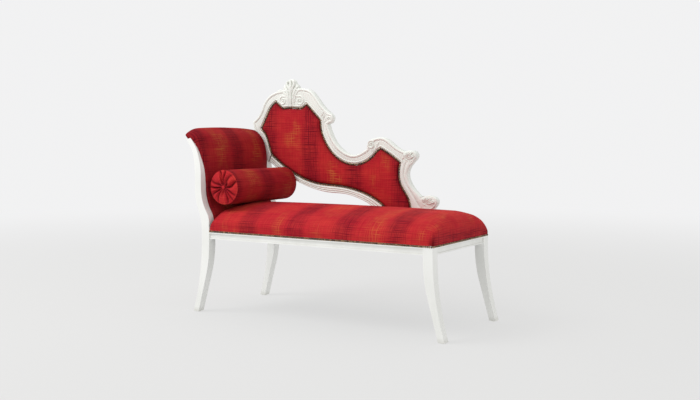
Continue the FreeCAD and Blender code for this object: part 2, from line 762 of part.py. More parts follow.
cover_block = feature("back_cover_block", crowned_panel(cover_rings))
place(cut("back_cover", cover_block, [foam_tool]), "back_cover")
outside = feature("back_outside", crowned_panel([(EDGE_CLEAR, BACK_FACE - 4), (EDGE_CLEAR, BACK_FACE - 2)]))
place(outside, "back_outside_cover")


# Seat: two crowned sections, one along and one across, meet in a mitre at the corners

SEAT_ACROSS = [(715, 17.3), (150, 28), (50, 47)]
CROWN_RADIUS, CROWN_END = 11900, 2.59
SEAT_END = [(CROWN_RADIUS, CROWN_END), (110, 45 - CROWN_END), (50, 47)]
SEAT_HEAD = POST_IN_X - 0.5
RIDGE_LIFT = 5
DRAW_IN = 2


def seat_half(steps, inset, crown, low, side):
    """Half a seat section, from the crown out and down; side -1 draws it towards +."""
    drawn = [(radius - inset, side * turn) for radius, turn in steps]
    curves, end = chain((0, crown - inset), side * 90, drawn)
    foot = (end[0] + side * (end[1] - low) * math.tan(math.radians(DRAW_IN)), low)
    return curves + lines([end, foot]), foot


def seat_block(inset, low):
    """The seat's stuffing: where its two sections meet, the lower one is kept."""
    crown = dim("seat_crown")
    front, front_foot = seat_half(SEAT_ACROSS, inset, crown, low - 10, 1)
    rear, rear_foot = seat_half(SEAT_ACROSS, inset, crown, low - 10, -1)
    across = Part.Wire(Part.__sortEdges__([c.toShape() for c in front + rear + lines([front_foot, rear_foot])]))
    section = Part.Face(across)
    section.rotate(FreeCAD.Vector(), FreeCAD.Vector(1, 1, 1), 120)
    section.translate(FreeCAD.Vector(-HALF_X - 20, 0, 0))
    long_block = section.extrude(FreeCAD.Vector(2 * HALF_X + 60, 0, 0))
    ridge = crown + RIDGE_LIFT
    foot_end, end_foot = seat_half(SEAT_END, inset, ridge, low, -1)
    radius = CROWN_RADIUS - inset
    head_top = (-SEAT_HEAD, ridge - inset - arc_rise(radius, SEAT_HEAD))
    middle = (-SEAT_HEAD / 2, ridge - inset - arc_rise(radius, SEAT_HEAD / 2))
    top = Part.Arc(vector(*head_top), vector(*middle), vector(0, ridge - inset))
    along = [top] + foot_end + lines([end_foot, (-SEAT_HEAD, low), head_top])
    return long_block.common(solid_of(along, -HALF_Y - 20, HALF_Y + 20))


ARM_SECTIONS = [(-HALF_Y, 4), (-16, dim("arm_crown")), (BACK_FRONT - CLEAR, 7)]
ARM_STRAIGHT = 118
ROLL = [(290, 18), (111, 50), (8, 132)]
LIP = (-709, 853)
BOARD_AWAY = 12


def arm_block(inset):
    """The arm's stuffing: its inner face follows the posts and rolls over at the top."""
    wires = []
    for y, proud in ARM_SECTIONS:
        away = proud - inset
        steps = [(INNER_BEND - NAIL_LINE,)] + offset_steps(SCROLL_INNER[:2], away) + [(ARM_STRAIGHT,)]
        steps += offset_steps(ROLL, away)
        inner, tip = chain((-POST_IN_X + away, NAIL_LINE), 0, steps)
        outer = chain((-HALF_X + BOARD_AWAY, NAIL_LINE), 0, offset_steps(SCROLL_OUTER[:5], BOARD_AWAY))
        curves = inner + lines([tip, LIP, outer[1]]) + outer[0][::-1]
        curves += lines([(-HALF_X + BOARD_AWAY, NAIL_LINE), (-POST_IN_X + away, NAIL_LINE)])
        wire = Part.Wire([c.toShape() for c in curves])
        wire.rotate(FreeCAD.Vector(), FreeCAD.Vector(1, 0, 0), 90)
        wire.translate(FreeCAD.Vector(0, y + (inset if y < 0 else 0), 0))
        wires.append(wire)
    return Part.makeLoft(wires, True, False)


arm_raw = feature("arm_raw", arm_block(0))
arm_inner = feature("arm_inner", arm_block(CLOTH))
seat_raw = feature("seat_raw", seat_block(0, SEAT_LOW))
seat_inner = feature("seat_inner", seat_block(CLOTH, SEAT_LOW - 4))
SEAT_BASE = HESSIAN + HESSIAN_THICK
under_seat = fixed_box("under_seat", (-HALF_X - 50, -HALF_Y - 20, 300), (HALF_X + 50, HALF_Y + 20, SEAT_BASE))
place(cut("seat_cover", seat_raw, [seat_inner, arm_raw, notch, panel_notch]), "seat_cover")
place(cut("seat_foam", seat_inner, [under_seat, arm_raw, notch, panel_notch]), "seat_foam")


# Arm: top and lower rails between the posts, a board, foam, the cover and the outside cloth

ARM_REACH = POST_IN_Y
TOP_RAIL_X, TOP_RAIL_Z = (-690, -664), (820, 846)
LOW_RAIL_IN, LOW_RAIL_HIGH = -597, 465
PAD_STARTS, PAD_CLEAR_TOP = -258, 846
BOARD_IN, CLOTH_IN, CLOTH_THICK = 8, 2.8, 2
top_rail = fixed_box("arm_top_bar", (TOP_RAIL_X[0], -ARM_REACH, TOP_RAIL_Z[0]),
                     (TOP_RAIL_X[1], BACK_FRONT, TOP_RAIL_Z[1]))
lower_rail = fixed_box("arm_low_bar", (-HALF_X + BOARD_AWAY, -ARM_REACH, SEAT_BASE),
                       (LOW_RAIL_IN, ARM_REACH, LOW_RAIL_HIGH))
place(group("arm_top_group", [top_rail]), "arm_top_rail")
place(group("arm_low_group", [lower_rail]), "arm_lower_rail")


def arm_skin(low, high, steps):
    """A sheet that follows the posts' outer curve between two distances inside it."""
    near = chain((-HALF_X + low, NAIL_LINE), 0, offset_steps(steps, low))
    far = chain((-HALF_X + high, NAIL_LINE), 0, offset_steps(steps, high))
    curves = near[0] + lines([near[1], far[1]]) + far[0][::-1]
    curves += lines([(-HALF_X + high, NAIL_LINE), (-HALF_X + low, NAIL_LINE)])
    return solid_of(curves, -ARM_REACH, ARM_REACH)


def below(name, high):
    """Room under a level, over the whole arm."""
    return fixed_box(name, (-700, -HALF_Y - 12, 300), (-500, HALF_Y + 12, high))


board_skin = feature("arm_board_raw", arm_skin(BOARD_IN, BOARD_AWAY, SCROLL_OUTER[:5]))
place(cut("arm_board", board_skin, [below("below_board", LOW_RAIL_HIGH)]), "arm_board")
below_cloth = below("below_cloth", SEAT_LOW)
outside_cloth = feature("arm_outside_raw", arm_skin(CLOTH_IN, CLOTH_IN + CLOTH_THICK, SCROLL_OUTER))
upright = doc.getObject("back_left_upright_body")
place(cut("arm_outside_cover", outside_cloth, [below_cloth, upright]), "arm_outside_cover")
front_post = doc.getObject("scroll_post_front_body")
rear_post = doc.getObject("scroll_post_back_body")


def front_clear(name, y):
    """Below the roll the pad starts behind the post's show face."""
    return fixed_box(name, (-700, -HALF_Y - 5, 300), (-500, y, PAD_CLEAR_TOP))


around_arm = [front_post, rear_post, upright, top_rail, lower_rail, under_seat]
before_cover = front_clear("arm_cover_clear", PAD_STARTS)
before_foam = front_clear("arm_foam_clear", PAD_STARTS + 2)
place(cut("arm_cover", arm_raw, [arm_inner, before_cover] + around_arm), "arm_cover")
place(cut("arm_foam", arm_inner, [before_foam] + around_arm), "arm_foam")


# Upholstery nails in rows: along the seat's edge and round the back panel

NAIL_CROWN = 0.45


def nail(x, y, z, out):
    """One nail head: a low cone on the cloth, pointing out."""
    wide = dim("nail_wide") / 2
    base = FreeCAD.Vector(x, y, z)
    return Part.makeCone(wide, wide * NAIL_CROWN, dim("nail_high"), base, FreeCAD.Vector(*out))


def nails_between(start, end, out):
    reach = math.dist(start, end)
    count = int(reach // dim("nail_pitch"))
    heads = []
    for i in range(count):
        t = (i + 0.5) / count
        heads.append(nail(*[a + t * (b - a) for a, b in zip(start, end)], out))
    return heads


NAIL_Z = SEAT_LOW - dim("nail_wide") / 2 - 0.3
seat_nails = nails_between((-POST_IN_X, -HALF_Y, NAIL_Z), (HALF_X, -HALF_Y, NAIL_Z), (0, -1, 0))
seat_nails += nails_between((HALF_X, -HALF_Y, NAIL_Z), (HALF_X, HALF_Y, NAIL_Z), (1, 0, 0))
seat_nails += nails_between((-POST_IN_X, HALF_Y, NAIL_Z), (HALF_X, HALF_Y, NAIL_Z), (0, 1, 0))
seat_nails += nails_between((-HALF_X, -POST_IN_Y, NAIL_Z), (-HALF_X, POST_IN_Y, NAIL_Z), (-1, 0, 0))
place(feature("seat_nail_heads", Part.makeCompound(seat_nails)), "seat_nails")


NAIL_OUT = dim("nail_wide") / 2
SHOWN_ABOVE = 500


def panel_nails():
    """Nails just outside the panel's edge, above the seat."""
    heads = []
    for run in PANEL_RUNS:
        along = (lines(run) if len(run) == 2 else [curve(run)])[0]
        count = max(2, round(along.length() / dim("nail_pitch")))
        marks = along.discretize(2 * count + 1)
        for before, middle, after in zip(marks[::2], marks[1::2], marks[2::2]):
            outward = FreeCAD.Vector(before.y - after.y, after.x - before.x, 0).normalize() * NAIL_OUT
            if middle.y > SHOWN_ABOVE:
                heads.append(nail(middle.x + outward.x, BACK_FRONT, middle.y + outward.y, (0, -1, 0)))
    return heads


place(feature("back_nail_heads", Part.makeCompound(panel_nails())), "back_nails")


# Bolster: filling, a sewn tube, two ruched ends with pleats, and a button in each end

BOLSTER_R = dim("bolster_wide") / 2
SEAT_UNDER_BOLSTER = dim("seat_crown") + RIDGE_LIFT - arc_rise(CROWN_RADIUS, dim("bolster_x"))
BOLSTER_Z = SEAT_UNDER_BOLSTER + dim("bolster_clear") + BOLSTER_R
BOLSTER_HALF = dim("bolster_long") / 2
PLEATS = 14
FURROW_IN, FURROW_LONG, FURROW_WIDE = 12, 40, (2.2, 3.2)


def about_axis(name, points):
    """Turns an outline of (radius, place along the axis) about the bolster's axis."""
    middle = FreeCAD.Vector(dim("bolster_x"), dim("bolster_y"), BOLSTER_Z)
    corners = [middle + FreeCAD.Vector(radius, along, 0) for radius, along in points]
    face = Part.Face(Part.makePolygon(corners + corners[:1]))
    return feature(name, face.revolve(middle, FreeCAD.Vector(0, 1, 0), 360))


def pleated_end(name, side):
    """A domed end, drawn in under its button, with a furrow between pleats."""
    full = core_end
    outline = [(0, full), (0, full + 2), (14, full + 3), (40, full + 9), (62, full + 6), (BOLSTER_R - 6, full)]
    dome = about_axis(name + "_dome", [(r, side * y) for r, y in outline])
    furrows = []
    for i in range(PLEATS):
        a = 2 * math.pi * i / PLEATS
        start = FreeCAD.Vector(dim("bolster_x") + FURROW_IN * math.cos(a), dim("bolster_y") + side * (full + 4),
                               BOLSTER_Z + FURROW_IN * math.sin(a))
        way = FreeCAD.Vector(math.cos(a), side * 0.12, math.sin(a))
        furrows.append(Part.makeCone(*FURROW_WIDE, FURROW_LONG, start, way))
    return place(cut(name, dome, [feature(name + "_furrows", Part.makeCompound(furrows))]), name)


CORE_R = BOLSTER_R - CLOTH
core_end = BOLSTER_HALF - 10
shoulder = BOLSTER_HALF - 24
filling = [(0, -core_end), (CORE_R - 14, -core_end), (CORE_R, -shoulder), (CORE_R, shoulder),
           (CORE_R - 14, core_end), (0, core_end)]
place(about_axis("bolster_core", filling), "bolster_filling")
tube = [(CORE_R - 14, -core_end), (BOLSTER_R - 10, -core_end), (BOLSTER_R, -shoulder), (BOLSTER_R, shoulder),
        (BOLSTER_R - 10, core_end), (CORE_R - 14, core_end), (CORE_R, shoulder), (CORE_R, -shoulder)]
place(about_axis("bolster_tube", tube), "bolster_cover")
pleated_end("bolster_end_front", -1)
pleated_end("bolster_end_back", 1)
button = [(0, core_end + 3), (9, core_end + 3), (9, core_end + 5), (6, core_end + 8), (0, core_end + 9)]
for button_name, side in (("bolster_button_front", -1), ("bolster_button_back", 1)):
    place(about_axis(button_name + "_turned", [(r, side * y) for r, y in button]), button_name)


doc.recompute()
for obj in doc.Objects:
    if "Invalid" in obj.State or "Error" in obj.State:
        raise RuntimeError("%s failed: %s" % (obj.Name, obj.State))
for node in nodes:
    if node.Shape.isNull() or not node.Shape.isValid() or not node.Shape.Solids:
        raise RuntimeError("%s has no sound shape" % node.Label)
os.makedirs("parts", exist_ok=True)
for node in nodes:
    node.Shape.exportStep("parts/%s.step" % node.Label)
    bounds = node.Shape.optimalBoundingBox()
    print("%-24s %3d solids %9.0f mm3  x %7.1f %7.1f  y %7.1f %7.1f  z %7.1f %7.1f" % (
        node.Label, len(node.Shape.Solids), node.Shape.Volume, bounds.XMin, bounds.XMax,
        bounds.YMin, bounds.YMax, bounds.ZMin, bounds.ZMax))
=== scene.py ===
import math

import bmesh
import bpy
import numpy as np
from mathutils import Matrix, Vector, geometry


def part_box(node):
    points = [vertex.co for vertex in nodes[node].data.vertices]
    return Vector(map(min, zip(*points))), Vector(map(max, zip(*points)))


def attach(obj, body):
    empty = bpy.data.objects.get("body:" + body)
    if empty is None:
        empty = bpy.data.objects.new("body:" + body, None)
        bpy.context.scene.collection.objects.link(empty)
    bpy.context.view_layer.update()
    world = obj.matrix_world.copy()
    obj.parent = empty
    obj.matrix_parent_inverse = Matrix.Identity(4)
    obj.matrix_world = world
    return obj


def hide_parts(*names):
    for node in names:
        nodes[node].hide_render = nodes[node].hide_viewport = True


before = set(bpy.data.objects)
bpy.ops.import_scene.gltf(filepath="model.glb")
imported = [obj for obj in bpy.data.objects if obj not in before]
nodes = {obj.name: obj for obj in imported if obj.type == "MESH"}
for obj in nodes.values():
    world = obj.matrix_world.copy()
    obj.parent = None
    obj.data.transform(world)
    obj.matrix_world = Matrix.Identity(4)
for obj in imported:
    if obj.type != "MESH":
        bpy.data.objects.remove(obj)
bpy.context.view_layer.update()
scene = bpy.context.scene
scene.view_settings.view_transform = "Standard"


# The view: a camera fitted to the corners of the posts, rails and feet. It stands in front of the object
# and beyond its foot end, about as high as the arm, and looks slightly down.

camera = bpy.data.objects.new("camera", bpy.data.cameras.new("camera"))
camera.data.sensor_width = 36.0
camera.data.lens = 47.06
camera.data.clip_end = 100
camera.location = (2.3328, -3.6656, 0.8649)
camera.rotation_euler = (math.radians(85.915), 0, math.radians(31.725))
scene.collection.objects.link(camera)
scene.camera = camera


# Posts, legs and seat rails: sawn from solid beech, sanded, primed and brushed with a warm white satin
# lacquer. A little grey-brown wash was left in the quirks. Behind the nails runs a dark brown painted shade,
# and the feet darken to grey-brown near the floor, painted shade too. These pieces keep their CAD shapes.

def feed(tree, node, sockets):
    """Joins a node's sockets to other nodes' outputs, or sets them where plain values are given."""
    for name, value in sockets.items():
        if isinstance(value, bpy.types.NodeSocket):
            tree.links.new(value, node.inputs[name])
        else:
            node.inputs[name].default_value = value


def put(tree, kind, settings=None, sockets=None):
    """Adds a shader node with its settings, and feeds its sockets."""
    made = tree.nodes.new("ShaderNode" + kind)
    for name, value in (settings or {}).items():
        setattr(made, name, value)
    feed(tree, made, sockets or {})
    return made


def maths(tree, operation, first, second=0.0, third=0.0):
    """One sum on plain values."""
    return put(tree, "Math", {"operation": operation}, {0: first, 1: second, 2: third}).outputs[0]


def times(tree, first, second):
    """One value times another."""
    return maths(tree, "MULTIPLY", first, second)


def between(tree, value, low, high, start=0.0, end=1.0):
    """Takes a value from low..high smoothly to start..end."""
    made = put(tree, "MapRange", {"interpolation_type": "SMOOTHSTEP"}, {
        "Value": value, "From Min": low, "From Max": high, "To Min": start, "To Max": end})
    return made.outputs["Result"]


def blended(tree, amount, first, second):
    """Goes from one colour to another."""
    return put(tree, "Mix", {"data_type": "RGBA"}, {0: amount, 6: first, 7: second}).outputs[2]


def clouds(tree, place, stretch, scale, detail, roughness):
    """Soft noise on a place stretched along its axes."""
    spread = put(tree, "Mapping", None, {"Vector": place, "Scale": stretch}).outputs[0]
    return put(tree, "TexNoise", None, {"Vector": spread, "Scale": scale, "Detail": detail,
                                        "Roughness": roughness}).outputs["Fac"]


def raised(tree, height, strength, distance):
    """Fine relief from a height: the shading direction of a bump node."""
    return put(tree, "Bump", None, {"Height": height, "Strength": strength, "Distance": distance}).outputs[0]


def own_place(tree):
    """Where each point lies on its own piece, in metres."""
    return put(tree, "TexCoord").outputs["Object"]


def height_of(tree, place):
    """The height above the floor."""
    return put(tree, "SeparateXYZ", None, {0: place}).outputs["Z"]


def fresh(name):
    """A new material: its node tree and its main shader."""
    made = bpy.data.materials.new(name)
    made.use_nodes = True
    return made, made.node_tree, made.node_tree.nodes["Principled BSDF"]


def lacquer(name, wash_and_shade_at, low=(0.82, 0.825, 0.795, 1), high=(0.88, 0.885, 0.86, 1)):
    """White satin lacquer on beech. The second argument gives how far a place is washed grey-brown and
    darkened with painted shade, from 0 to 1; near 1 it turns to a dark brown painted shade.
    """
    made, tree, shader = fresh(name)
    place = own_place(tree)
    brushed = clouds(tree, place, (1, 1, 0.35), 7, 5, 0.6)
    specks = clouds(tree, place, (1, 1, 1), 90, 4, 0.7)
    tone = blended(tree, between(tree, brushed, 0.35, 0.65), low, high)
    tone = blended(tree, between(tree, specks, 0.66, 0.78, 0, 0.18), tone, (0.62, 0.60, 0.54, 1))
    lying = wash_and_shade_at(tree, place)
    # Grey-brown: wash in the quirks and hollows, and painted shade on the feet near the floor.
    wash_and_shade = times(tree, lying, between(tree, specks, 0.25, 0.6, 0.55, 1.0))
    tone = blended(tree, wash_and_shade, tone, (0.46, 0.45, 0.39, 1))
    # Dark brown near 1: painted shade behind the nails and along the panel's edge.
    tone = blended(tree, between(tree, lying, 0.75, 0.92), tone, (0.085, 0.045, 0.028, 1))
    strokes = clouds(tree, place, (0.12, 1, 1), 260, 2, 0.6)
    feed(tree, shader, {"Base Color": tone, "Roughness": between(tree, brushed, 0.3, 0.7, 0.34, 0.46),
                        "Normal": raised(tree, strokes, 0.10, 0.0006)})
    return made


def band_at(tree, value, level, half):
    """One within half of a level, fading to nothing at its ends."""
    off = maths(tree, "ABSOLUTE", maths(tree, "SUBTRACT", value, level))
    return between(tree, off, half * 0.3, half, 1.0, 0.0)


def rail_wash_and_shade(tree, place):
    """Wash under the rails' top band and over their lower step, and a dark brown painted shade behind the
    nails.
    """
    height = height_of(tree, place)
    under_band = band_at(tree, height, 0.3885, 0.0022)
    over_step = band_at(tree, height, 0.3695, 0.0016)
    soft = times(tree, maths(tree, "MAXIMUM", under_band, over_step), 0.22)
    # The band at the nails' height is painted shade, dark brown behind the seat's nail row.
    return maths(tree, "MAXIMUM", soft, band_at(tree, height, 0.3990, 0.0062))


def painted_foot_shade(tree, place):
    """Painted shade near the floor: the last centimetres of the feet turn grey-brown."""
    height = height_of(tree, place)
    return between(tree, height, 0.004, 0.03, 0.35, 0.0)


rail_lacquer = lacquer("rail_lacquer", rail_wash_and_shade)
leg_lacquer = lacquer("leg_lacquer", painted_foot_shade)


def finished(made, *names):
    """Gives CAD nodes a material in place of their plain one."""
    for name in names:
        for spot in nodes[name].material_slots:
            spot.material = made


finished(rail_lacquer, "seat_rail_front", "seat_rail_back", "seat_rail_head", "seat_rail_foot",
         "back_foot_rail")
finished(leg_lacquer, "leg_front_right", "leg_back_right", "scroll_post_front", "scroll_post_back")


# Inside the seat frame: bare beech blocks, brace, dowels and arm rails, with plated screws, pale
# nylon glides pinned under the feet, and boards of brown hardboard behind the padding.

def beech():
    """Unpainted beech: long soft grain with short dark flecks."""
    made, tree, shader = fresh("bare_beech")
    place = own_place(tree)
    grain = clouds(tree, place, (6, 0.5, 6), 9, 6, 0.55)
    flecks = clouds(tree, place, (60, 6, 60), 6, 2, 0.5)
    tone = blended(tree, between(tree, grain, 0.35, 0.65), (0.50, 0.32, 0.18, 1), (0.62, 0.43, 0.26, 1))
    tone = blended(tree, between(tree, flecks, 0.62, 0.72, 0, 0.5), tone, (0.30, 0.17, 0.09, 1))
    feed(tree, shader, {"Base Color": tone, "Roughness": 0.62, "Normal": raised(tree, grain, 0.2, 0.0008)})
    return made


def mottled(name, scale, detail, contrast, dark, light, rough, metallic=0.0):
    """A material that runs unevenly between two tones. Its roughness is one value, or a low and a high."""
    made, tree, shader = fresh(name)
    uneven = clouds(tree, own_place(tree), (1, 1, 1), scale, detail, contrast)
    if isinstance(rough, tuple):
        rough = between(tree, uneven, 0.3, 0.7, *rough)
    feed(tree, shader, {"Base Color": blended(tree, uneven, dark, light), "Roughness": rough,
                        "Metallic": metallic})
    return made


hardboard = mottled("hardboard", 320, 4, 0.7, (0.16, 0.09, 0.05, 1), (0.30, 0.18, 0.10, 1), 0.75)
plated = mottled("plated_steel", 400, 3, 0.6, (0.42, 0.42, 0.40, 1), (0.60, 0.60, 0.58, 1), (0.28, 0.42), 1.0)
nylon = mottled("pale_nylon", 260, 4, 0.7, (0.58, 0.56, 0.50, 1), (0.76, 0.75, 0.71, 1), 0.5)
finished(beech(), "corner_blocks", "seat_cross_brace", "rail_dowels", "back_frame_dowels", "arm_top_rail",
         "arm_lower_rail")
finished(hardboard, "arm_board", "back_panel_board")
finished(plated, "corner_block_screws", "back_frame_screws")
finished(nylon, "foot_glides")


# Carved back frame: seven beech rails, dowelled end to end, each moulded by hand along its front with a
# flat ledge for the nails, a bead beside it, and a rounded outer rim, then lacquered like the legs.
# The runs of points give the rails' lines, in millimetres from the middle of the posts.

MIDDLE_X = 0.023
FRONT, BACK = 257.0, 288.0
STEPPED = [(-614, 995), (-594, 1018), (-572, 1034)]
VOLUTE_LEFT = [(-572, 1034), (-550, 1014), (-526, 998)]
CREST_UNDER = [(-526, 998), (-478, 1002), (-433, 998)]
VOLUTE_RIGHT = [(-433, 998), (-402, 1002), (-380, 1019)]
CREST_OVER = [(-529, 1096), (-478, 1103), (-427, 1104)]
UPRIGHT = [(-600, 760), (-619, 815), (-642, 868), (-668, 895)]
SHOULDER_LINE = [(-380, 1019), (-295, 937)]
DIP = [(-295, 937), (-294, 905), (-266, 827), (-205, 754), (-110, 713), (-16, 731), (22, 757)]
PEAK_LEFT = [(22, 757), (45, 782), (64, 794)]
PEAK_RIGHT = [(64, 794), (126, 758), (169, 729)]
END = [(169, 729), (162, 680), (177, 613), (210, 562), (226, 515), (228, 460)]
LOWER_TOP = [(-600, 760), (-518, 701), (-422, 650), (-297, 615), (-187, 608), (-57, 584), (42, 543),
             (95, 500), (118, 460)]
LOWER_UNDER = [(-617, 722), (-571, 689), (-435, 619), (-347, 589), (-236, 569), (-145, 565), (-68, 547),
               (8, 512), (64, 460)]


def run_along(line):
    """The distance run along a line at each of its points."""
    return np.r_[0, np.cumsum(np.sqrt((np.diff(line, axis=0) ** 2).sum(1)))]


def points_at(at, run, line):
    """The line's points at given distances run."""
    return np.stack([np.interp(at, run, line[:, axis]) for axis in range(line.shape[1])], 1)


def headings(line):
    """Unit steps along a line."""
    way = np.gradient(line, axis=0)
    return way / (np.sqrt((way ** 2).sum(1))[:, None] + 1e-9)


def leftward(way):
    """Each direction turned a quarter turn anticlockwise."""
    return np.stack([-way[:, 1], way[:, 0]], 1)


def smooth_run(points, gap=2.0):
    """Samples a natural cubic spline, by chord length, through the points; two points give a straight line.

    On each span the curve is the cubic whose second derivative runs straight from one end's to the other's;
    these come from one tridiagonal system that makes the slopes meet.
    """
    p = np.asarray(points, float)
    chord = run_along(p)
    t = np.linspace(0, chord[-1], max(2, int(chord[-1] / gap) + 1))
    spans = np.diff(chord)
    count = len(p)
    system = np.eye(count)
    middle = np.arange(1, count - 1)
    system[middle, middle - 1] = spans[:-1]
    system[middle, middle] = 2 * (spans[:-1] + spans[1:])
    system[middle, middle + 1] = spans[1:]
    pull = np.zeros_like(p)
    pull[1:-1] = 6 * np.diff(np.diff(p, axis=0) / spans[:, None], axis=0)
    bend = np.linalg.solve(system, pull)
    k = np.clip(np.searchsorted(chord, t, side="right") - 1, 0, count - 2)
    gone, left, span = (t - chord[k])[:, None], (chord[k + 1] - t)[:, None], spans[k][:, None]
    return ((bend[k] * left ** 3 + bend[k + 1] * gone ** 3) / (6 * span)
            + (p[k] / span - bend[k] * span / 6) * left + (p[k + 1] / span - bend[k + 1] * span / 6) * gone)


def joined_run(*runs):
    """Smooth runs end to end, with a corner where they meet."""
    return np.concatenate([smooth_run(runs[0])] + [smooth_run(run)[1:] for run in runs[1:]])


OUTER_RUNS = {
    "upright": joined_run([(-664, 727), (-667, 775), (-692, 838), (-719, 895), (-726, 933)],
                          [(-726, 933), (-691, 962), (-654, 1028)]),
    "crest": joined_run([(-654, 1028), (-634, 1054), (-587, 1084), (-529, 1096)], CREST_OVER,
                        [(-427, 1104), (-358, 1092), (-321, 1058), (-272, 1001), (-240, 975)],
                        [(-240, 975), (-222, 955), (-230, 928), (-250, 919)]),
    "dip": joined_run([(-250, 919), (-223, 853), (-169, 790), (-86, 763), (-16, 794)]),
    "peak": joined_run([(-16, 794), (-12, 820), (10, 842), (36, 848)],
                       [(36, 848), (64, 852), (98, 841), (160, 798), (198, 782)],
                       [(198, 782), (226, 788), (253, 782), (263, 762), (248, 738)]),
    "end": joined_run([(248, 738), (226, 713), (213, 684), (218, 645), (254, 593), (287, 563)],
                      [(287, 563), (320, 572), (352, 568), (373, 549), (367, 525)],
                      [(367, 525), (345, 495), (335, 460)]),
    "lower": joined_run(LOWER_UNDER),
}
INNER_RUNS = {
    "upright": joined_run([(-626, 727), (-617, 722)], [(-617, 722), (-600, 760)], UPRIGHT,
                          [(-668, 895), (-614, 995)]),
    "crest": joined_run(STEPPED, VOLUTE_LEFT, CREST_UNDER, VOLUTE_RIGHT, SHOULDER_LINE),
    "dip": joined_run(DIP),
    "peak": joined_run(PEAK_LEFT, PEAK_RIGHT),
    "end": joined_run(END),
    "lower": joined_run(LOWER_TOP),
}
panel_edge = np.concatenate([joined_run(UPRIGHT, [(-668, 895), (-614, 995)])] + [
    INNER_RUNS[part] for part in ("crest", "dip", "peak", "end")] + [INNER_RUNS["lower"][::-1]])
frame_rim = np.concatenate([OUTER_RUNS[part] for part in ("upright", "crest", "dip", "peak", "end")])
lower_rim = OUTER_RUNS["lower"]


def away_from(points, line):
    """Shortest distance from each point to a closely sampled line, its short pieces taken as straight."""
    start, step = line[:-1], np.diff(line, axis=0)
    keep = (step ** 2).sum(1) > 1e-9
    start, step = start[keep], step[keep]
    nearest = []
    for some in np.array_split(points, max(1, len(points) // 1500)):
        off = some[:, None] - start
        share = np.clip((off * step).sum(2) / (step ** 2).sum(1), 0, 1)
        nearest.append(np.sqrt(((off - share[..., None] * step) ** 2).sum(2)).min(1))
    return np.concatenate(nearest)


def stations(inner, outer, ties, gap):
    """Pairs of points on two lines. Between one tie and the next, both lines are shared out evenly."""
    def nearest(line, point):
        return int(((line - np.asarray(point)) ** 2).sum(1).argmin())

    def shared(piece, count):
        run = run_along(piece)
        return points_at(np.linspace(0, run[-1], count), run, piece)

    marks = [(nearest(inner, a), nearest(outer, b)) for a, b in ties]
    marks = [(0, 0)] + marks + [(len(inner) - 1, len(outer) - 1)]
    near, far = [], []
    for (a, b), (c, d) in zip(marks[:-1], marks[1:]):
        one, other = inner[a:c + 1], outer[b:d + 1]
        one = one if len(one) > 1 else np.repeat(one, 2, axis=0)
        other = other if len(other) > 1 else np.repeat(other, 2, axis=0)
        length = max(np.sqrt((np.diff(line, axis=0) ** 2).sum(1)).sum() for line in (one, other))
        count = max(2, int(length / gap) + 1)
        near.append(shared(one, count)[:-1])
        far.append(shared(other, count)[:-1])
    return np.concatenate(near + [inner[-1:]]), np.concatenate(far + [outer[-1:]])


def half_round(distance, middle, half, high):
    """A half-round moulding of a given half width at a distance from an edge, and nothing beside it."""
    return high * np.sqrt(np.clip(1 - ((distance - middle) / half) ** 2, 0, 1))


def rounded_off(distance, radius):
    """How far a round edge falls back, from its radius at the very edge to nothing."""
    return radius - np.sqrt(np.clip(radius ** 2 - np.clip(radius - distance, 0, radius) ** 2, 0, None))


def broad_moulding(inside, outside):
    """Nail ledge, bead, a hollow that rises outwards, and a round rim, from the distances to both edges."""
    share = inside / (inside + outside + 1e-6)
    high = 0.6 + 2.6 * np.clip(share * 1.3, 0, 1) ** 1.6
    high = np.maximum(high, half_round(outside, 6.5, 8.0, 6.0))
    high = high - 1.6 * np.exp(-((outside - 15.5) / 1.3) ** 2) - 1.2 * np.exp(-((inside - 19.6) / 1.2) ** 2)
    high = np.where(inside < 18.8, half_round(inside, 15.0, 3.8, 4.4), high)
    high = np.where(inside < 11.2, 0.0, high)
    return high - rounded_off(outside, 4.5)


def reeded(count):
    """A nail ledge with a row of half-round reeds side by side out to the rim."""
    def moulding(inside, outside):
        share = np.clip((inside - 11.5) / (inside + outside - 11.5 + 1e-6), 0, 1) * count
        reeds = 4.6 * np.abs(np.sin(np.pi * share)) ** 0.6
        return np.where(inside < 11.5, 0.0, reeds) - rounded_off(outside, 2.5)
    return moulding


def closed_round(grid):
    """A grid with its first column again at its end."""
    return np.concatenate([grid, grid[:, :1]], axis=1)


def squares(grid):
    """The four neighbours round each square of a grid."""
    return np.stack([grid[:-1, :-1], grid[:-1, 1:], grid[1:, 1:], grid[1:, :-1]], 2)


def store_wash_and_shade(mesh, values):
    """Stores at each point how far it is washed grey-brown and darkened with painted shade."""
    mesh.attributes.new("wash_and_shade", "FLOAT", "POINT").data.foreach_set("value", np.asarray(values, float).ravel())


def piece_of(name, mesh, finish, crease):
    """An object of a mesh that is smooth but for its edges sharper than crease, in degrees."""
    mesh.shade_smooth()
    mesh.set_sharp_from_angle(angle=math.radians(crease))
    mesh.materials.append(finish)
    piece = bpy.data.objects.new(name, mesh)
    scene.collection.objects.link(piece)
    return piece


def facing_out(mesh, weld=0.0):
    """Turns all faces outwards, after joining points closer than weld."""
    shell = bmesh.new()
    shell.from_mesh(mesh)
    if weld:
        bmesh.ops.remove_doubles(shell, verts=shell.verts, dist=weld)
    bmesh.ops.recalc_face_normals(shell, faces=shell.faces)
    shell.to_mesh(mesh)
    shell.free()


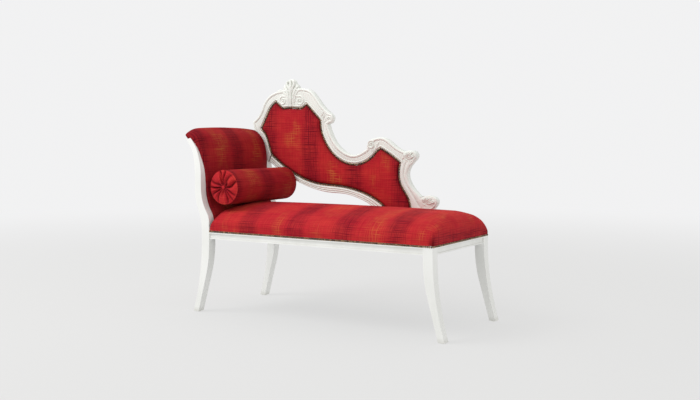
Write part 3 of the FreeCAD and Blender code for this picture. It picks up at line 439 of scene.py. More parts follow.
def skin(name, rows, finish, crease, ring=False, caps=False, cloth=None, wash_and_shade=None):
    """Makes an object from rows of points in millimetres, as one quad between each four neighbours.

    ring joins each row's last point to its first, caps closes the first and last rows, cloth gives the
    flat place of each point on its fabric in metres, and the last argument how dark each point is made:
    washed grey-brown on lacquer, and painted shade on lacquer and cloth.
    """
    rows = np.asarray(rows, float)
    count, wide = rows.shape[:2]
    index = np.arange(count * wide).reshape(count, wide)
    quads = squares(closed_round(index) if ring else index).reshape(-1, 4)
    ends = [index[0], index[-1][::-1]] if caps else []
    mesh = bpy.data.meshes.new(name)
    spots = rows.reshape(-1, 3) / 1000 + [MIDDLE_X, 0, 0]
    mesh.from_pydata(spots.tolist(), [], quads.tolist() + [end.tolist() for end in ends])
    if cloth is not None:
        cloth = np.asarray(cloth, float)
        corners = [squares(cloth).reshape(-1, 2)]
        corners += [cloth[0, :wide], cloth[-1, :wide][::-1]] if caps else []
        mesh.uv_layers.new(name="cloth").data.foreach_set("uv", np.concatenate(corners).ravel())
    if wash_and_shade is not None:
        store_wash_and_shade(mesh, wash_and_shade)
    facing_out(mesh, 1e-5)
    return piece_of(name, mesh, finish, crease)


def wash_and_shade_attribute(tree, place):
    """The washing and painted shade stored at a piece's own points, which asks for no place."""
    return put(tree, "Attribute", {"attribute_name": "wash_and_shade"}).outputs["Fac"]


# Tinted a little greener than the legs' lacquer to cancel the pink that the red cloth reflects onto the
# frame: colour standing in for less reflected light.
carved_lacquer = lacquer("carved_lacquer", wash_and_shade_attribute, (0.80, 0.825, 0.775, 1), (0.86, 0.885, 0.835, 1))

# A moulded rail's section has its points at these distances from its inner edge and from its rim.
LEDGE = np.array([0, 0.6, 5, 9, 10.8, 11.3, 11.8, 12.6, 13.6, 15, 16.4, 17.4, 18.2, 18.7, 19.2, 20.2, 21.5])
RIM = np.array([19, 17, 16.2, 15.5, 14.8, 14.2, 13.4, 12, 10, 8, 6, 4.5, 3, 1.8, 0.9, 0.3, 0])


def moulded_rail(name, part, ties, moulding, gap=2.5, across=24):
    """A back rail between its inner and outer lines.

    Each station is a straight line from one to the other. Points lie along it, closer together near its
    ends, and stand forward by the moulding, which depends only on the true distances to the two edges.
    The side and the flat back close the ring.
    """
    near, far = stations(INNER_RUNS[part], OUTER_RUNS[part], ties, gap)
    width = np.sqrt(((far - near) ** 2).sum(1))[:, None]
    fit = np.minimum(1, width / 58)
    first, last = LEDGE * fit / width, 1 - RIM * fit / width
    middle = first[:, -1:] + (last[:, :1] - first[:, -1:]) * np.linspace(0, 1, across + 2)[1:-1]
    share = np.concatenate([first, middle, last], axis=1)
    flat = near[:, None] + share[..., None] * (far - near)[:, None]
    points = flat.reshape(-1, 2)
    inside = away_from(points, panel_edge)
    outside = away_from(points, lower_rim if part == "lower" else frame_rim)
    high = moulding(inside, outside).reshape(share.shape)
    hollow = np.zeros_like(high)
    around = (high[:, :-4] + high[:, 4:]) / 2
    hollow[:, 2:-2] = np.clip((around - high[:, 2:-2]) * 0.22, 0, 0.45)
    # Painted shade: the first points off the panel's edge, on the nail ledge, go dark brown, a painted shadow
    # along the nails.
    hollow[1:-1, :5] = [1, 1, 0.9, 0.5, 0.1]
    front = np.concatenate([flat[..., :1], (FRONT - high)[..., None], flat[..., 1:]], axis=2)
    outer, inner = front[:, -1], front[:, 0]
    side = [np.stack([outer[:, 0], np.full(len(outer), y), outer[:, 2]], 1) for y in (FRONT + 9, BACK - 1.5)]
    edge = outer + (inner - outer) * (1.5 / width)
    edge[:, 1] = BACK
    lip = inner.copy()
    lip[:, 1] = BACK
    rows = np.concatenate([front, side[0][:, None], side[1][:, None], edge[:, None], lip[:, None]], axis=1)
    wash_and_shade = np.concatenate([hollow, np.zeros((len(rows), 4))], axis=1)
    piece = skin(name, rows, carved_lacquer, ring=True, caps=True, wash_and_shade=wash_and_shade, crease=50)
    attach(piece, "frame")
    return piece


upright = moulded_rail("moulded_upright", "upright", [
    ((-617, 722), (-664.2, 736)), ((-600, 760), (-667, 775)), ((-668, 895), (-726, 933))], broad_moulding)
crest = moulded_rail("moulded_crest", "crest", [
    ((-572, 1034), (-587, 1084)), ((-526, 998), (-529, 1096)), ((-433, 998), (-427, 1104)),
    ((-380, 1019), (-358, 1092)), ((-330, 971), (-272, 1001)), ((-308, 950), (-240, 975))],
    broad_moulding, 2.0, 32)
dip = moulded_rail("moulded_dip", "dip", [((-266, 827), (-223, 853)), ((-205, 754), (-169, 790)),
                                          ((-110, 713), (-86, 763))], broad_moulding)
peak = moulded_rail("moulded_peak", "peak", [
    ((45, 782), (8, 840)), ((64, 794), (64, 852)), ((126, 758), (160, 798)), ((150, 741), (198, 782))],
    broad_moulding, 2.2, 28)
end = moulded_rail("moulded_end", "end", [
    ((162, 680), (213, 684)), ((177, 613), (229, 627)), ((210, 562), (287, 563)), ((226, 515), (367, 525))],
    reeded(2), 2.2, 32)
lower = moulded_rail("moulded_lower", "lower", [
    ((-518, 701), (-538, 671)), ((-422, 650), (-435, 619)), ((-297, 615), (-310, 580)),
    ((-187, 608), (-190, 567)), ((-57, 584), (-74, 549)), ((42, 543), (10, 511))], reeded(3))
for piece, node in ((upright, "back_left_upright"), (crest, "back_crest_rail"), (dip, "back_dip_rail"),
                    (peak, "back_peak_rail"), (end, "back_end_rail"), (lower, "back_lower_rail")):
    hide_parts(node)


# Carvings: a palmette between two volutes on the crest, a rosette at the shoulder, a curled leaf at the
# peak, and buds of four lobes at the knob and the end. All are cut in relief, rounded over with a gouge,
# and lacquered with the frame.

def stroke(path, wide, high, crease=0.0, count=34):
    """One gouged ridge, drawn along a smooth path of (x, z, lift) points.

    Across the path its section is close to half an ellipse: half width times the cosine of an angle, height
    times a power of its sine. The height can dip along the middle like a leaf's vein.
    """
    line = smooth_run(path, 0.5)
    run = run_along(line[:, :2])
    at = np.linspace(0, run[-1], count)
    line = points_at(at, run, line)
    cross = leftward(headings(line[:, :2]))
    share = at / at[-1]
    half = np.interp(share, np.linspace(0, 1, len(wide)), wide)
    rise = np.interp(share, np.linspace(0, 1, len(high)), high)
    end_round = np.sqrt(np.clip(1 - np.clip((share - 0.9) / 0.1, 0, 1) ** 2, 0.02, 1))
    half, rise = half * end_round, rise * (0.35 + 0.65 * end_round)
    angle = np.linspace(0, np.pi, 13)
    over = np.sin(angle) ** 0.8 * (1 - crease * np.exp(-(np.cos(angle) / 0.28) ** 2))
    flat = line[:, None, :2] + (half[:, None] * np.cos(angle))[..., None] * cross[:, None]
    depth = FRONT - line[:, None, 2] - rise[:, None] * over
    front = np.stack([flat[..., 0], depth, flat[..., 1]], 2)
    behind = np.stack([front[:, ::-4, 0], np.full((count, 4), 0.0), front[:, ::-4, 2]], 2)
    behind[..., 1] = (FRONT - line[:, None, 2]) + 4.0
    rows = np.concatenate([front, behind[:, :1], behind[:, -1:]], axis=1)
    edge = np.clip(1.0 - 2.2 * over, 0, 1)
    wash_and_shade = np.concatenate([np.broadcast_to(edge * 0.28, (count, 13)), np.zeros((count, 2))], axis=1)
    return rows, wash_and_shade


def spiral(middle, reach, turns, start, lead, hand, wide, high):
    """A volute: a ridge whose radius shrinks steadily to its eye, after the lead's points.

    hand 1 winds it anticlockwise seen from the front, -1 clockwise; start is the first angle in degrees.
    """
    angle = np.radians(start) + hand * np.linspace(0, 2 * np.pi * turns, int(10 * turns) + 1)
    radius = np.linspace(reach, reach * 0.16, len(angle))
    path = [(middle[0] + r * math.cos(a), middle[1] + r * math.sin(a), 0.0) for r, a in zip(radius, angle)]
    widths = [wide * share for share in (0.8, 1, 1, 0.8, 0.55)]
    return stroke(lead + path, widths, [high * 0.7, high, high, high], count=90)


def turned(middle, wide, deep, count):
    """Rings of points round an axis from front to back, each with its own radius and depth."""
    around = np.linspace(0, 2 * np.pi, count, endpoint=False)
    return np.stack([middle[0] + wide[:, None] * np.cos(around),
                     np.broadcast_to(deep[:, None], (len(wide), count)),
                     middle[1] + wide[:, None] * np.sin(around)], 2)


def boss(middle, radius, high):
    """A round eye: half an ellipsoid, from rings that shrink with the cosine as they rise with the sine."""
    up = np.radians([-40, 0, 20, 40, 60, 75, 90])
    rows = turned(middle, radius * np.where(up < 0, 1, np.cos(up)), FRONT - high * np.sin(up), 20)
    wash_and_shade = np.broadcast_to(np.where(up <= 0, 0.3, 0)[:, None], (len(up), 20))
    return rows, wash_and_shade


def carving(name, node, parts):
    """Joins a carving's ridges and eyes into one object that stands for its CAD solid."""
    pieces = [skin("%s_%d" % (name, i), rows, carved_lacquer, ring=True, caps=True, wash_and_shade=wash_and_shade, crease=60)
              for i, (rows, wash_and_shade) in enumerate(parts)]
    whole = bmesh.new()
    for piece in pieces:
        whole.from_mesh(piece.data)
        bpy.data.objects.remove(piece)
    mesh = bpy.data.meshes.new(name)
    whole.to_mesh(mesh)
    whole.free()
    piece = piece_of(name, mesh, carved_lacquer, 60)
    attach(piece, "frame")
    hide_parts(node)


def palmette_plate():
    """The palmette's own thickness above the crest: a domed plate between the crest and its leafy outline."""
    under = smooth_run([(-531, 1092), (-478, 1098), (-425, 1100)], 1.0)
    over = joined_run([(-531, 1092), (-516, 1126), (-503, 1110)],
                      [(-503, 1110), (-500, 1136), (-484, 1152), (-470, 1153), (-456, 1144), (-447, 1128)],
                      [(-447, 1128), (-436, 1120), (-425, 1100)])
    near, far = stations(under, over, [((-500, 1096), (-503, 1110)), ((-449, 1099), (-447, 1128))], 2.0)
    share = np.linspace(0, 1, 14)[:, None]
    flat = near[:, None] + share * (far - near)[:, None]
    dome = 3.5 * np.sin(np.pi * np.clip(share[:, 0], 0, 1)) ** 0.5
    front = np.stack([flat[..., 0], np.broadcast_to(259.5 - dome, flat.shape[:2]), flat[..., 1]], 2)
    rear = front[:, ::-1].copy()
    rear[..., 1] = 279.5 + np.broadcast_to(dome[::-1] * 0.35, flat.shape[:2])
    rows = np.concatenate([front, rear], axis=1)
    wash_and_shade = np.full(rows.shape[:2], 0.12)
    return rows, wash_and_shade


palmette = [
    palmette_plate(),
    stroke([(-497, 1020, 0), (-504, 1058, 1), (-524, 1088, 1), (-552, 1094, 1), (-572, 1082, 0)],
           [3, 6, 7, 6, 2], [4, 6, 6, 5, 2], 0.3),
    stroke([(-458, 1020, 0), (-451, 1060, 1), (-432, 1092, 1), (-404, 1098, 1), (-380, 1086, 0)],
           [3, 6, 7, 6, 2], [4, 6, 6, 5, 2], 0.3),
    stroke([(-490, 1016, 0), (-492, 1056, 2), (-501, 1092, 3), (-512, 1112, 2), (-519, 1122, 0)],
           [4, 6, 7, 8, 3], [5, 7, 7, 6, 3], 0.3),
    stroke([(-465, 1016, 0), (-462, 1056, 2), (-452, 1092, 3), (-440, 1110, 2), (-429, 1116, 0)],
           [4, 6, 7, 8, 3], [5, 7, 7, 6, 3], 0.3),
    stroke([(-485, 1084, 3), (-492, 1112, 4), (-500, 1130, 4), (-495, 1141, 4), (-487, 1138, 4)],
           [3, 6, 6, 5, 3], [3, 6, 7, 6, 5], 0.2),
    stroke([(-470, 1084, 3), (-462, 1112, 4), (-455, 1128, 4), (-459, 1140, 4), (-466, 1137, 4)],
           [3, 6, 6, 5, 3], [3, 6, 7, 6, 5], 0.2),
    stroke([(-478, 1012, 2), (-478, 1056, 3), (-478, 1102, 5), (-477, 1134, 5), (-477, 1150, 4)],
           [5, 8, 8, 9, 4], [6, 8, 8, 7, 4], 0.35),
    spiral((-527, 1042), 25, 1.45, 62, [(-499, 1078, 0), (-507, 1070, 0)], 1, 5.0, 6.5),
    boss((-527, 1042), 6.5, 8.0),
    spiral((-420, 1040), 26, 1.45, 118, [(-456, 1078, 0), (-447, 1070, 0)], -1, 5.0, 6.5),
    boss((-420, 1040), 6.5, 8.0),
]
carving("palmette_and_volutes", "crest_carving", palmette)

shoulder = [
    spiral((-236, 946), 21, 1.5, 100, [(-276, 985, 0), (-258, 974, 0)], -1, 4.2, 8.0),
    boss((-236, 946), 5.5, 9.5),
    stroke([(-285, 956, 0), (-279, 972, 0), (-266, 985, 0), (-253, 984, 0)],
           [2, 5, 5, 2], [3, 7, 7, 4], 0.35, 24),
    stroke([(-276, 938, 0), (-272, 958, 0), (-262, 970, 0)], [2, 5, 3], [3, 7, 5], 0.35, 20),
    stroke([(-274, 928, 0), (-262, 936, 0), (-258, 952, 0)], [2, 4, 3], [3, 6, 5], 0.35, 20),
]
carving("shoulder_rosette", "shoulder_carving", shoulder)

curl = [
    spiral((11, 815), 22, 1.55, 55, [(60, 842, 0), (44, 843, 0), (32, 840, 0)], 1, 4.4, 8.5),
    boss((11, 815), 5.5, 9.5),
    stroke([(20, 786, 0), (38, 800, 0), (46, 820, 0), (60, 834, 0)], [2, 5, 5, 2], [3, 7, 7, 3], 0.35, 24),
    stroke([(4, 783, 0), (24, 790, 0), (34, 806, 0)], [2, 4, 2.5], [3, 6, 5], 0.3, 20),
]
carving("peak_curl", "peak_leaf_carving", curl)


def bud(foot, tips, spread):
    """A bud of lobes: a leaf stroke from one foot to each tip, with a collar ridge across the foot."""
    foot, across, lobes = np.array(foot, float), np.array(spread, float), []
    for tip in np.array(tips, float):
        path = [(*foot, 0), (*(foot + (tip - foot) * 0.45), 1), (*(tip * 0.96 + foot * 0.04), 2), (*tip, 0)]
        lobes.append(stroke(path, [2.5, 6.5, 8, 5], [5, 9, 10, 6], 0.45, 26))
    collar = [(*(foot - across), 0), (*foot, 1), (*(foot + across), 0)]
    lobes.append(stroke(collar, [2, 3.5, 2], [4, 7, 4], 0.0, 20))
    return lobes


knob = bud((206, 744), [(196, 774), (214, 782), (236, 782), (254, 766)], (16, -14))
knob.append(stroke([(182, 746, 0), (196, 758, 0), (200, 772, 0)], [2, 4, 2.5], [3, 6, 4], 0.3, 20))
knob.append(stroke([(214, 716, 0), (236, 728, 0), (252, 748, 0)], [2, 4, 3], [3, 6, 5], 0.0, 20))
carving("knob_bud", "knob_carving", knob)
end_bud = bud((306, 530), [(300, 562), (322, 566), (344, 562), (360, 546)], (16, -12))
end_bud.append(stroke([(262, 548, 0), (280, 548, 0), (292, 556, 0)], [2, 4, 2.5], [3, 6, 4], 0.3, 20))
end_bud.append(stroke([(322, 506, 0), (344, 512, 0), (360, 528, 0)], [2, 4, 3], [3, 6, 5], 0.0, 20))
carving("end_bud", "end_carving", end_bud)


# Covers: one red cloth throughout, a dry linen-like weave with hazy burgundy bands dyed across it and
# broken gold dashes just before each band. UVs hold each point's flat place on the cloth in metres.

def banded(tree, across, centre, half):
    """Haze around each band's middle; bands come every 264 millimetres."""
    turns = maths(tree, "DIVIDE", maths(tree, "SUBTRACT", across, centre), 0.264)
    off = maths(tree, "ABSOLUTE", maths(tree, "SUBTRACT", turns, maths(tree, "ROUND", turns)))
    return between(tree, off, half * 0.25, half, 1.0, 0.0)


def slub_lines(tree, place, run, side, pitch, stretch):
    """Fine lines across run at a wandering pitch, each fading in and out along its length."""
    wander = clouds(tree, place, stretch, 1, 2, 0.5)
    drift = times(tree, wander, 16.0)
    wave = maths(tree, "SINE", maths(tree, "MULTIPLY_ADD", run, 2 * math.pi / pitch, drift))
    broken = clouds(tree, place, (stretch[0] * 1.7 + side[0], stretch[1] * 1.7 + side[1], 1), 1, 2, 0.5)
    return times(tree, between(tree, wave, 0.0, 0.85), between(tree, broken, 0.38, 0.58))


def cross_hatch(tree, place, across, along, shift):
    """Fine broken lines both ways. shift moves the places where they break, so that two hatches differ."""
    warp = slub_lines(tree, place, across, shift, 0.0092, (34, 4, 1))
    weft = slub_lines(tree, place, along, shift[::-1], 0.0098, (4, 34, 1))
    return maths(tree, "MAXIMUM", warp, weft)


def crossed(tree, across, along, wave):
    """The weave's relief: one sine across times one along."""
    sines = [maths(tree, "SINE", times(tree, way, wave)) for way in (across, along)]
    return times(tree, *sines)


def red_cloth(name, dark_at, gold, depth=1.0):
    """The covers' cloth, with a dark band's middle at one place across it. gold is how strong its ochre
    patches are, and a depth below 1 darkens it all over: painted shade, for a cover that faces away from the
    light.
    """
    made, tree, shader = fresh(name)
    place = put(tree, "UVMap", {"uv_map": "cloth"}).outputs["UV"]
    apart = put(tree, "SeparateXYZ", None, {0: place})
    across, along = apart.outputs["X"], apart.outputs["Y"]
    drift = clouds(tree, place, (0.6, 1.4, 1), 5, 3, 0.6)
    shifted = maths(tree, "MULTIPLY_ADD", drift, 0.05, maths(tree, "SUBTRACT", across, 0.025))
    cloudy = clouds(tree, place, (1, 1, 1), 5.0, 4, 0.6)
    hatch = cross_hatch(tree, place, across, along, (30, 0))
    patchy = between(tree, cloudy, 0.22, 0.50, 0.25, 1)
    haze = times(tree, banded(tree, shifted, dark_at, 0.27), patchy)
    shade = times(tree, haze, maths(tree, "MULTIPLY_ADD", hatch, 0.55, 0.30))
    fields = clouds(tree, place, (1, 0.8, 1), 7.5, 2, 0.5)
    before_band = dark_at - 0.115
    ochre = times(tree, banded(tree, shifted, before_band, 0.27), between(tree, fields, 0.44, 0.60))
    pale_across, pale_along = maths(tree, "ADD", across, 0.0046), maths(tree, "ADD", along, 0.0049)
    dashes = cross_hatch(tree, place, pale_across, pale_along, (60, 8))
    ochre = times(tree, ochre, maths(tree, "MULTIPLY_ADD", dashes, 0.55 * gold, 0.03 * gold))
    ground = blended(tree, between(tree, drift, 0.35, 0.7), (0.49, 0.015, 0.028, 1), (0.59, 0.031, 0.033, 1))
    ground = blended(tree, times(tree, hatch, 0.30), ground, (0.24, 0.004, 0.010, 1))
    ground = blended(tree, times(tree, dashes, 0.10), ground, (0.68, 0.14, 0.05, 1))
    tone = blended(tree, shade, ground, (0.110, 0.002, 0.012, 1))
    tone = blended(tree, ochre, tone, (0.66, 0.24, 0.055, 1))
    threads = crossed(tree, across, along, 5200.0)
    tone = blended(tree, between(tree, threads, -1.0, 1.0, 0.0, 0.20), tone, (0.18, 0.004, 0.008, 1))
    # Painted shade: a depth below 1 darkens the whole cloth.
    tone = blended(tree, 1 - depth, tone, (0.035, 0.0, 0.001, 1))
    slubs = maths(tree, "MULTIPLY_ADD", hatch, 0.6, times(tree, threads, 0.5))
    feed(tree, shader, {
        "Base Color": tone, "Roughness": between(tree, cloudy, 0.3, 0.7, 0.80, 0.92), "Sheen Weight": 0.05,
        "Sheen Roughness": 0.4, "Sheen Tint": (1.0, 0.2, 0.15, 1), "Specular IOR Level": 0.08,
        "Normal": raised(tree, slubs, 0.35, 0.0005)})
    return made


def shaded_cloth(made):
    """Darkens the cloth down in gathers and tucks, where little light reaches."""
    tree = made.node_tree
    shader = tree.nodes["Principled BSDF"]
    tone = shader.inputs["Base Color"].links[0].from_socket
    deep = put(tree, "Attribute", {"attribute_name": "wash_and_shade"}).outputs["Fac"]
    darker = blended(tree, times(tree, deep, 0.80), tone, (0.075, 0.001, 0.004, 1))
    feed(tree, shader, {"Base Color": darker})
    return made


def settled(rows, held, most, ring=False):
    """How far the stuffing pushes each point of a cover: a cloth simulation on a coarse copy of its grid.

    held is 1 where the cover is sewn or nailed. A move of length m is kept as most * tanh(m / most), so
    that none is longer than most, and spread back over the full grid between its coarse lines.
    """
    lines, columns, pressure, frames = 52, 44, 4.0, 20
    count, wide = rows.shape[:2]
    last = wide - 1 if ring else wide
    i = np.unique(np.linspace(0, count - 1, lines).round().astype(int))
    j = np.unique(np.linspace(0, last, columns).round().astype(int).clip(0, wide - 1))
    few = rows[np.ix_(i, j)]
    index = np.arange(len(i) * len(j)).reshape(len(i), len(j))
    quads = squares(closed_round(index) if ring else index)
    mesh = bpy.data.meshes.new("settling")
    mesh.from_pydata((few.reshape(-1, 3) / 1000).tolist(), [], quads.reshape(-1, 4).tolist())
    trial = bpy.data.objects.new("settling", mesh)
    scene.collection.objects.link(trial)
    sewn = trial.vertex_groups.new(name="sewn")
    for vertex, weight in enumerate(held[np.ix_(i, j)].ravel()):
        sewn.add([vertex], float(weight), "REPLACE")
    cloth = trial.modifiers.new("cloth", "CLOTH").settings
    cloth.vertex_group_mass = "sewn"
    cloth.use_pressure = True
    cloth.uniform_pressure_force = pressure
    cloth.effector_weights.gravity = 0.0
    cloth.tension_stiffness = cloth.compression_stiffness = cloth.shear_stiffness = 30
    cloth.bending_stiffness = 4.0
    for step in range(1, frames + 1):
        scene.frame_set(step)
    worn = trial.evaluated_get(bpy.context.evaluated_depsgraph_get()).to_mesh()
    places = np.empty(len(worn.vertices) * 3)
    worn.vertices.foreach_get("co", places)
    bpy.data.objects.remove(trial)
    scene.frame_set(1)
    move = places.reshape(few.shape) * 1000 - few
    length = np.sqrt((move ** 2).sum(-1, keepdims=True)) + 1e-9
    move *= most * np.tanh(length / most) / length
    down = np.stack([np.stack([np.interp(np.arange(wide), j, move[row, :, axis]) for axis in range(3)], -1)
                     for row in range(len(i))])
    place_i = np.interp(np.arange(count), i, np.arange(len(i)))
    low = np.minimum(place_i.astype(int), len(i) - 2)
    share = (place_i - low)[:, None, None]
    return down[low] * (1 - share) + down[low + 1] * share


# Seat: foam on webbing, under one cover drawn down over the rails and nailed at 400 mm. Its top is
# crowned across and along. The sides roll over into the drop, and each foot-end corner is tucked in once.

SEAT_TOP, RIDGE, SEAT_EDGE = 533.0, 538.0, 404.0
SEAT_HALF, SEAT_FOOT = 291, 627


def bent_line(start, heading, steps, gap):
    """Samples tangent lines and arcs: (length,) goes straight, (radius, turn) bends; angles in degrees.

    The heading is measured from straight up, towards -X. Gives the points and the length gone at each.
    """
    points, gone = [np.array(start, float)], [0.0]
    for step in steps:
        length = step[0] if len(step) == 1 else step[0] * math.radians(abs(step[1]))
        count = max(1, int(length / gap))
        base, first = points[-1], math.radians(heading)
        for k in range(1, count + 1):
            far = length * k / count
            if len(step) == 1:
                move = far * np.array([-math.sin(first), math.cos(first)])
            else:
                side, turned = (1, -1)[step[1] < 0], first + math.radians(step[1]) * k / count
                move = side * step[0] * np.array([math.cos(turned) - math.cos(first),
                                                  math.sin(turned) - math.sin(first)])
            points.append(base + move)
            gone.append(gone[-1] + length / count)
        heading += 0 if len(step) == 1 else step[1]
    return np.array(points), np.array(gone)


def evenly(points, gone, gap):
    """The same line with points at an even gap."""
    at = np.linspace(0, gone[-1], int(gone[-1] / gap) + 1)
    return points_at(at, gone, points), at


def tilt(points):
    """How much a section leans at each point: 0 flat, 1 at 45 degrees, 0 upright."""
    way = np.gradient(points, axis=0)
    return np.abs(2 * way[:, 0] * way[:, 1]) / ((way ** 2).sum(1) + 1e-12)


def dropped(line, gone):
    """The line with a straight drop from its end to the cover's lower edge."""
    fall = line[-1, 1] - SEAT_EDGE
    return np.concatenate([line, [line[-1] - [0.8, fall]]]), np.r_[gone, gone[-1] + fall]


def seat_surface():
    """The cover as a grid: lines along the seat (x from one section) and across it (y from the other).

    Each point takes the lower of the two sections' heights, so at each height the outline is a rectangle. The
    ridge is eased by w/4 * h * h, h falling from 1 to 0 as the heights part by w, and the rectangle's
    corners are rounded by a radius that grows from 9 mm at the nails to 75 mm on the roll.
    """
    half, gone = dropped(*bent_line((0, SEAT_TOP), -90, [(715, -17.3), (150, -28), (50, -47)], 1.0))
    front, at = evenly(half, gone, 3.0)
    y = np.r_[-front[::-1, 0], front[1:, 0]]
    z_across = np.r_[front[::-1, 1], front[1:, 1]]
    v = np.r_[-at[::-1], at[1:]]
    lean_v = np.r_[tilt(front)[::-1], tilt(front)[1:]]
    foot, foot_gone = dropped(*bent_line((0, RIDGE), -90, [(11900, -2.59), (110, -42.41), (50, -47)], 1.0))
    long_top, _ = bent_line((0, RIDGE), 90, [(11900, 2.37), (118, 52), (44, 30)], 1.0)
    head_x = -577.5
    drop = long_top[:, 0] > head_x
    head, _ = evenly(long_top[drop], np.arange(drop.sum()) * 1.0, 4.0)
    near_foot = foot_gone > 480
    flat, flat_at = evenly(foot[~near_foot], foot_gone[~near_foot], 5.0)
    close, close_at = evenly(foot[near_foot], foot_gone[near_foot] - foot_gone[near_foot][0], 3.0)
    x = np.r_[head[::-1, 0], flat[1:, 0], close[:, 0]]
    z_along = np.r_[head[::-1, 1], flat[1:, 1], close[:, 1]]
    u = np.r_[head[::-1, 0], flat_at[1:], close_at + foot_gone[near_foot][0]]
    lean_u = np.r_[tilt(head)[::-1], tilt(flat)[1:], tilt(close)]
    a, b = z_along[:, None], z_across[None, :]
    width = 8 + 40 * np.sqrt(lean_u[:, None] * lean_v[None, :])
    soft = np.clip(width - np.abs(a - b), 0, None) / width
    z = np.minimum(a, b) - soft ** 2 * width / 4 * np.clip((np.minimum(a, b) - SEAT_EDGE) / 40, 0, 1)
    grid_x = np.broadcast_to(x[:, None], z.shape).copy()
    grid_y = np.broadcast_to(y[None, :], z.shape).copy()
    wide = np.interp(z, z_across[:len(front)], -y[:len(front)])
    foot_reach = np.interp(z, z_along[:len(head) - 1:-1], x[:len(head) - 1:-1])
    head_reach = np.interp(z, z_along[:len(head)], -x[:len(head)])
    reach = np.where(grid_x > 0, foot_reach, head_reach)
    grown = np.clip((z - 408) / 85, 0, 1)
    radius = np.minimum(9 + 66 * grown * grown * (3 - 2 * grown), 0.7 * wide)
    over_x, over_y = np.abs(grid_x) - (reach - radius), np.abs(grid_y) - (wide - radius)
    away = np.hypot(over_x, over_y)
    outside = (over_x > 0) & (over_y > 0) & (away > radius)
    pull = np.where(outside, radius / np.maximum(away, 1e-6), 1)
    grid_x = np.where(outside, np.sign(grid_x) * (reach - radius + over_x * pull), grid_x)
    grid_y = np.where(outside, np.sign(grid_y) * (wide - radius + over_y * pull), grid_y)
    rows = np.stack([grid_x, grid_y, np.maximum(z, SEAT_EDGE)], 2)
    return rows, np.stack(np.meshgrid(u, v, indexing="ij"), 2) / 1000


seat_rows, seat_cloth = seat_surface()
held = np.zeros(seat_rows.shape[:2])
held[:, :3] = held[:, -3:] = 1
held[-3:] = held[:2] = 1
move = settled(seat_rows, held, 5.0)
move[..., 2] = np.clip(move[..., 2], -0.5, 0.5)
lift = np.clip((seat_rows[..., 2:] - 415) / 40, 0, 1)
seat_rows = seat_rows + move * lift
seat_rows[..., 1] = np.clip(seat_rows[..., 1], -SEAT_HALF, SEAT_HALF)
seat_rows[..., 0] = np.clip(seat_rows[..., 0], None, SEAT_FOOT)


def hemmed(rows, cloth, inset, rise):
    """Closes a cover: all four edges turn in and up a little, towards the frame they are nailed to."""
    middle = rows.reshape(-1, 3).mean(0)
    ring = rows.copy()
    ring[..., 0] += np.where(ring[..., 0] > middle[0], -inset, inset)
    ring[..., 1] += np.where(ring[..., 1] > middle[1], -inset, inset)
    ring[..., 2] = SEAT_EDGE + rise
    whole = np.concatenate([ring[:1], rows, ring[-1:]], axis=0)
    left, right = whole[:, :1].copy(), whole[:, -1:].copy()
    left[..., 1] += inset
    right[..., 1] -= inset
    left[..., 2] = right[..., 2] = SEAT_EDGE + rise
    whole = np.concatenate([left, whole, right], axis=1)
    flat = np.concatenate([cloth[:1], cloth, cloth[-1:]], axis=0)
    return whole, np.concatenate([flat[:, :1], flat, flat[:, -1:]], axis=1)


seat_cloth_finish = red_cloth("seat_cloth", 0.184, gold=0.5)
rows, cloth = hemmed(seat_rows, seat_cloth, inset=4.0, rise=3.0)
rise = np.clip(1 - (rows[..., 2] - SEAT_EDGE) / 62, 0, 1)
from_corner = rows[..., 0] - 612
# Painted shade at each foot-end corner, where the cover is tucked in: darkest low down beside the corner.
past = np.hypot(rows[..., 0] - 621, np.abs(rows[..., 1]) - 286)
corner_shade = np.exp(-(past / (5 + 11 * rise)) ** 2) * rise ** 0.6
tuck = 5.0 * np.exp(-(from_corner / 5) ** 2) * rise * (np.abs(rows[..., 1]) > 262)
rows[..., 1] -= np.sign(rows[..., 1]) * tuck
seat = skin("seat", rows, shaded_cloth(seat_cloth_finish), cloth=cloth, wash_and_shade=corner_shade, crease=75)
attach(seat, "frame")
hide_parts("seat_cover", "seat_foam")


# Arm: a pad of foam over a board between the two scroll posts. Its cover runs up the inside, rolls over
# the posts' tops to a lip, and is nailed along their outer edge; both its ends are drawn round the pad.

ARM_FRONT, ARM_ROLL_FRONT, ARM_BACK = -259.0, -291.0, 256.0
LIP_TIP = (-709.0, 853.0)
ARM_LONG = 516
HALF_ARM = 240.6


def arm_section(proud):
    """Inner face, roll and tip of the lip in the plane y = constant, at a distance in front of the posts.

    The posts' inner side is a chain of arcs from (-578, 445). The pad's line is the same chain with each
    radius changed by its distance; over the top it rolls back to the lip.
    """
    steps = [(45,), (87 + proud, 33), (211 - proud, -33), (118,), (290 + proud, 18), (111 + proud, 50),
             (8 + proud, 132)]
    points, gone = bent_line((-578 + proud, 400), 0, steps, 1.5)
    return evenly(points, gone, 4.0)


def post_outer(inset, start, turn, gap):
    """The posts' outer side, a little way in, from a height up through the turn of its last arc."""
    steps = [(254 - inset, 23.2), (254 + inset, -23.2), (90,), (365 - inset, 13), (100 - inset, turn)]
    return bent_line((-623 + inset, start), 0, steps, gap)


def arm_outer():
    """The posts' outer side, 9 mm in, from the lip down to the rail."""
    points, gone = post_outer(9, 400, 25, 1.5)
    return evenly(points[::-1], gone, 8.0)


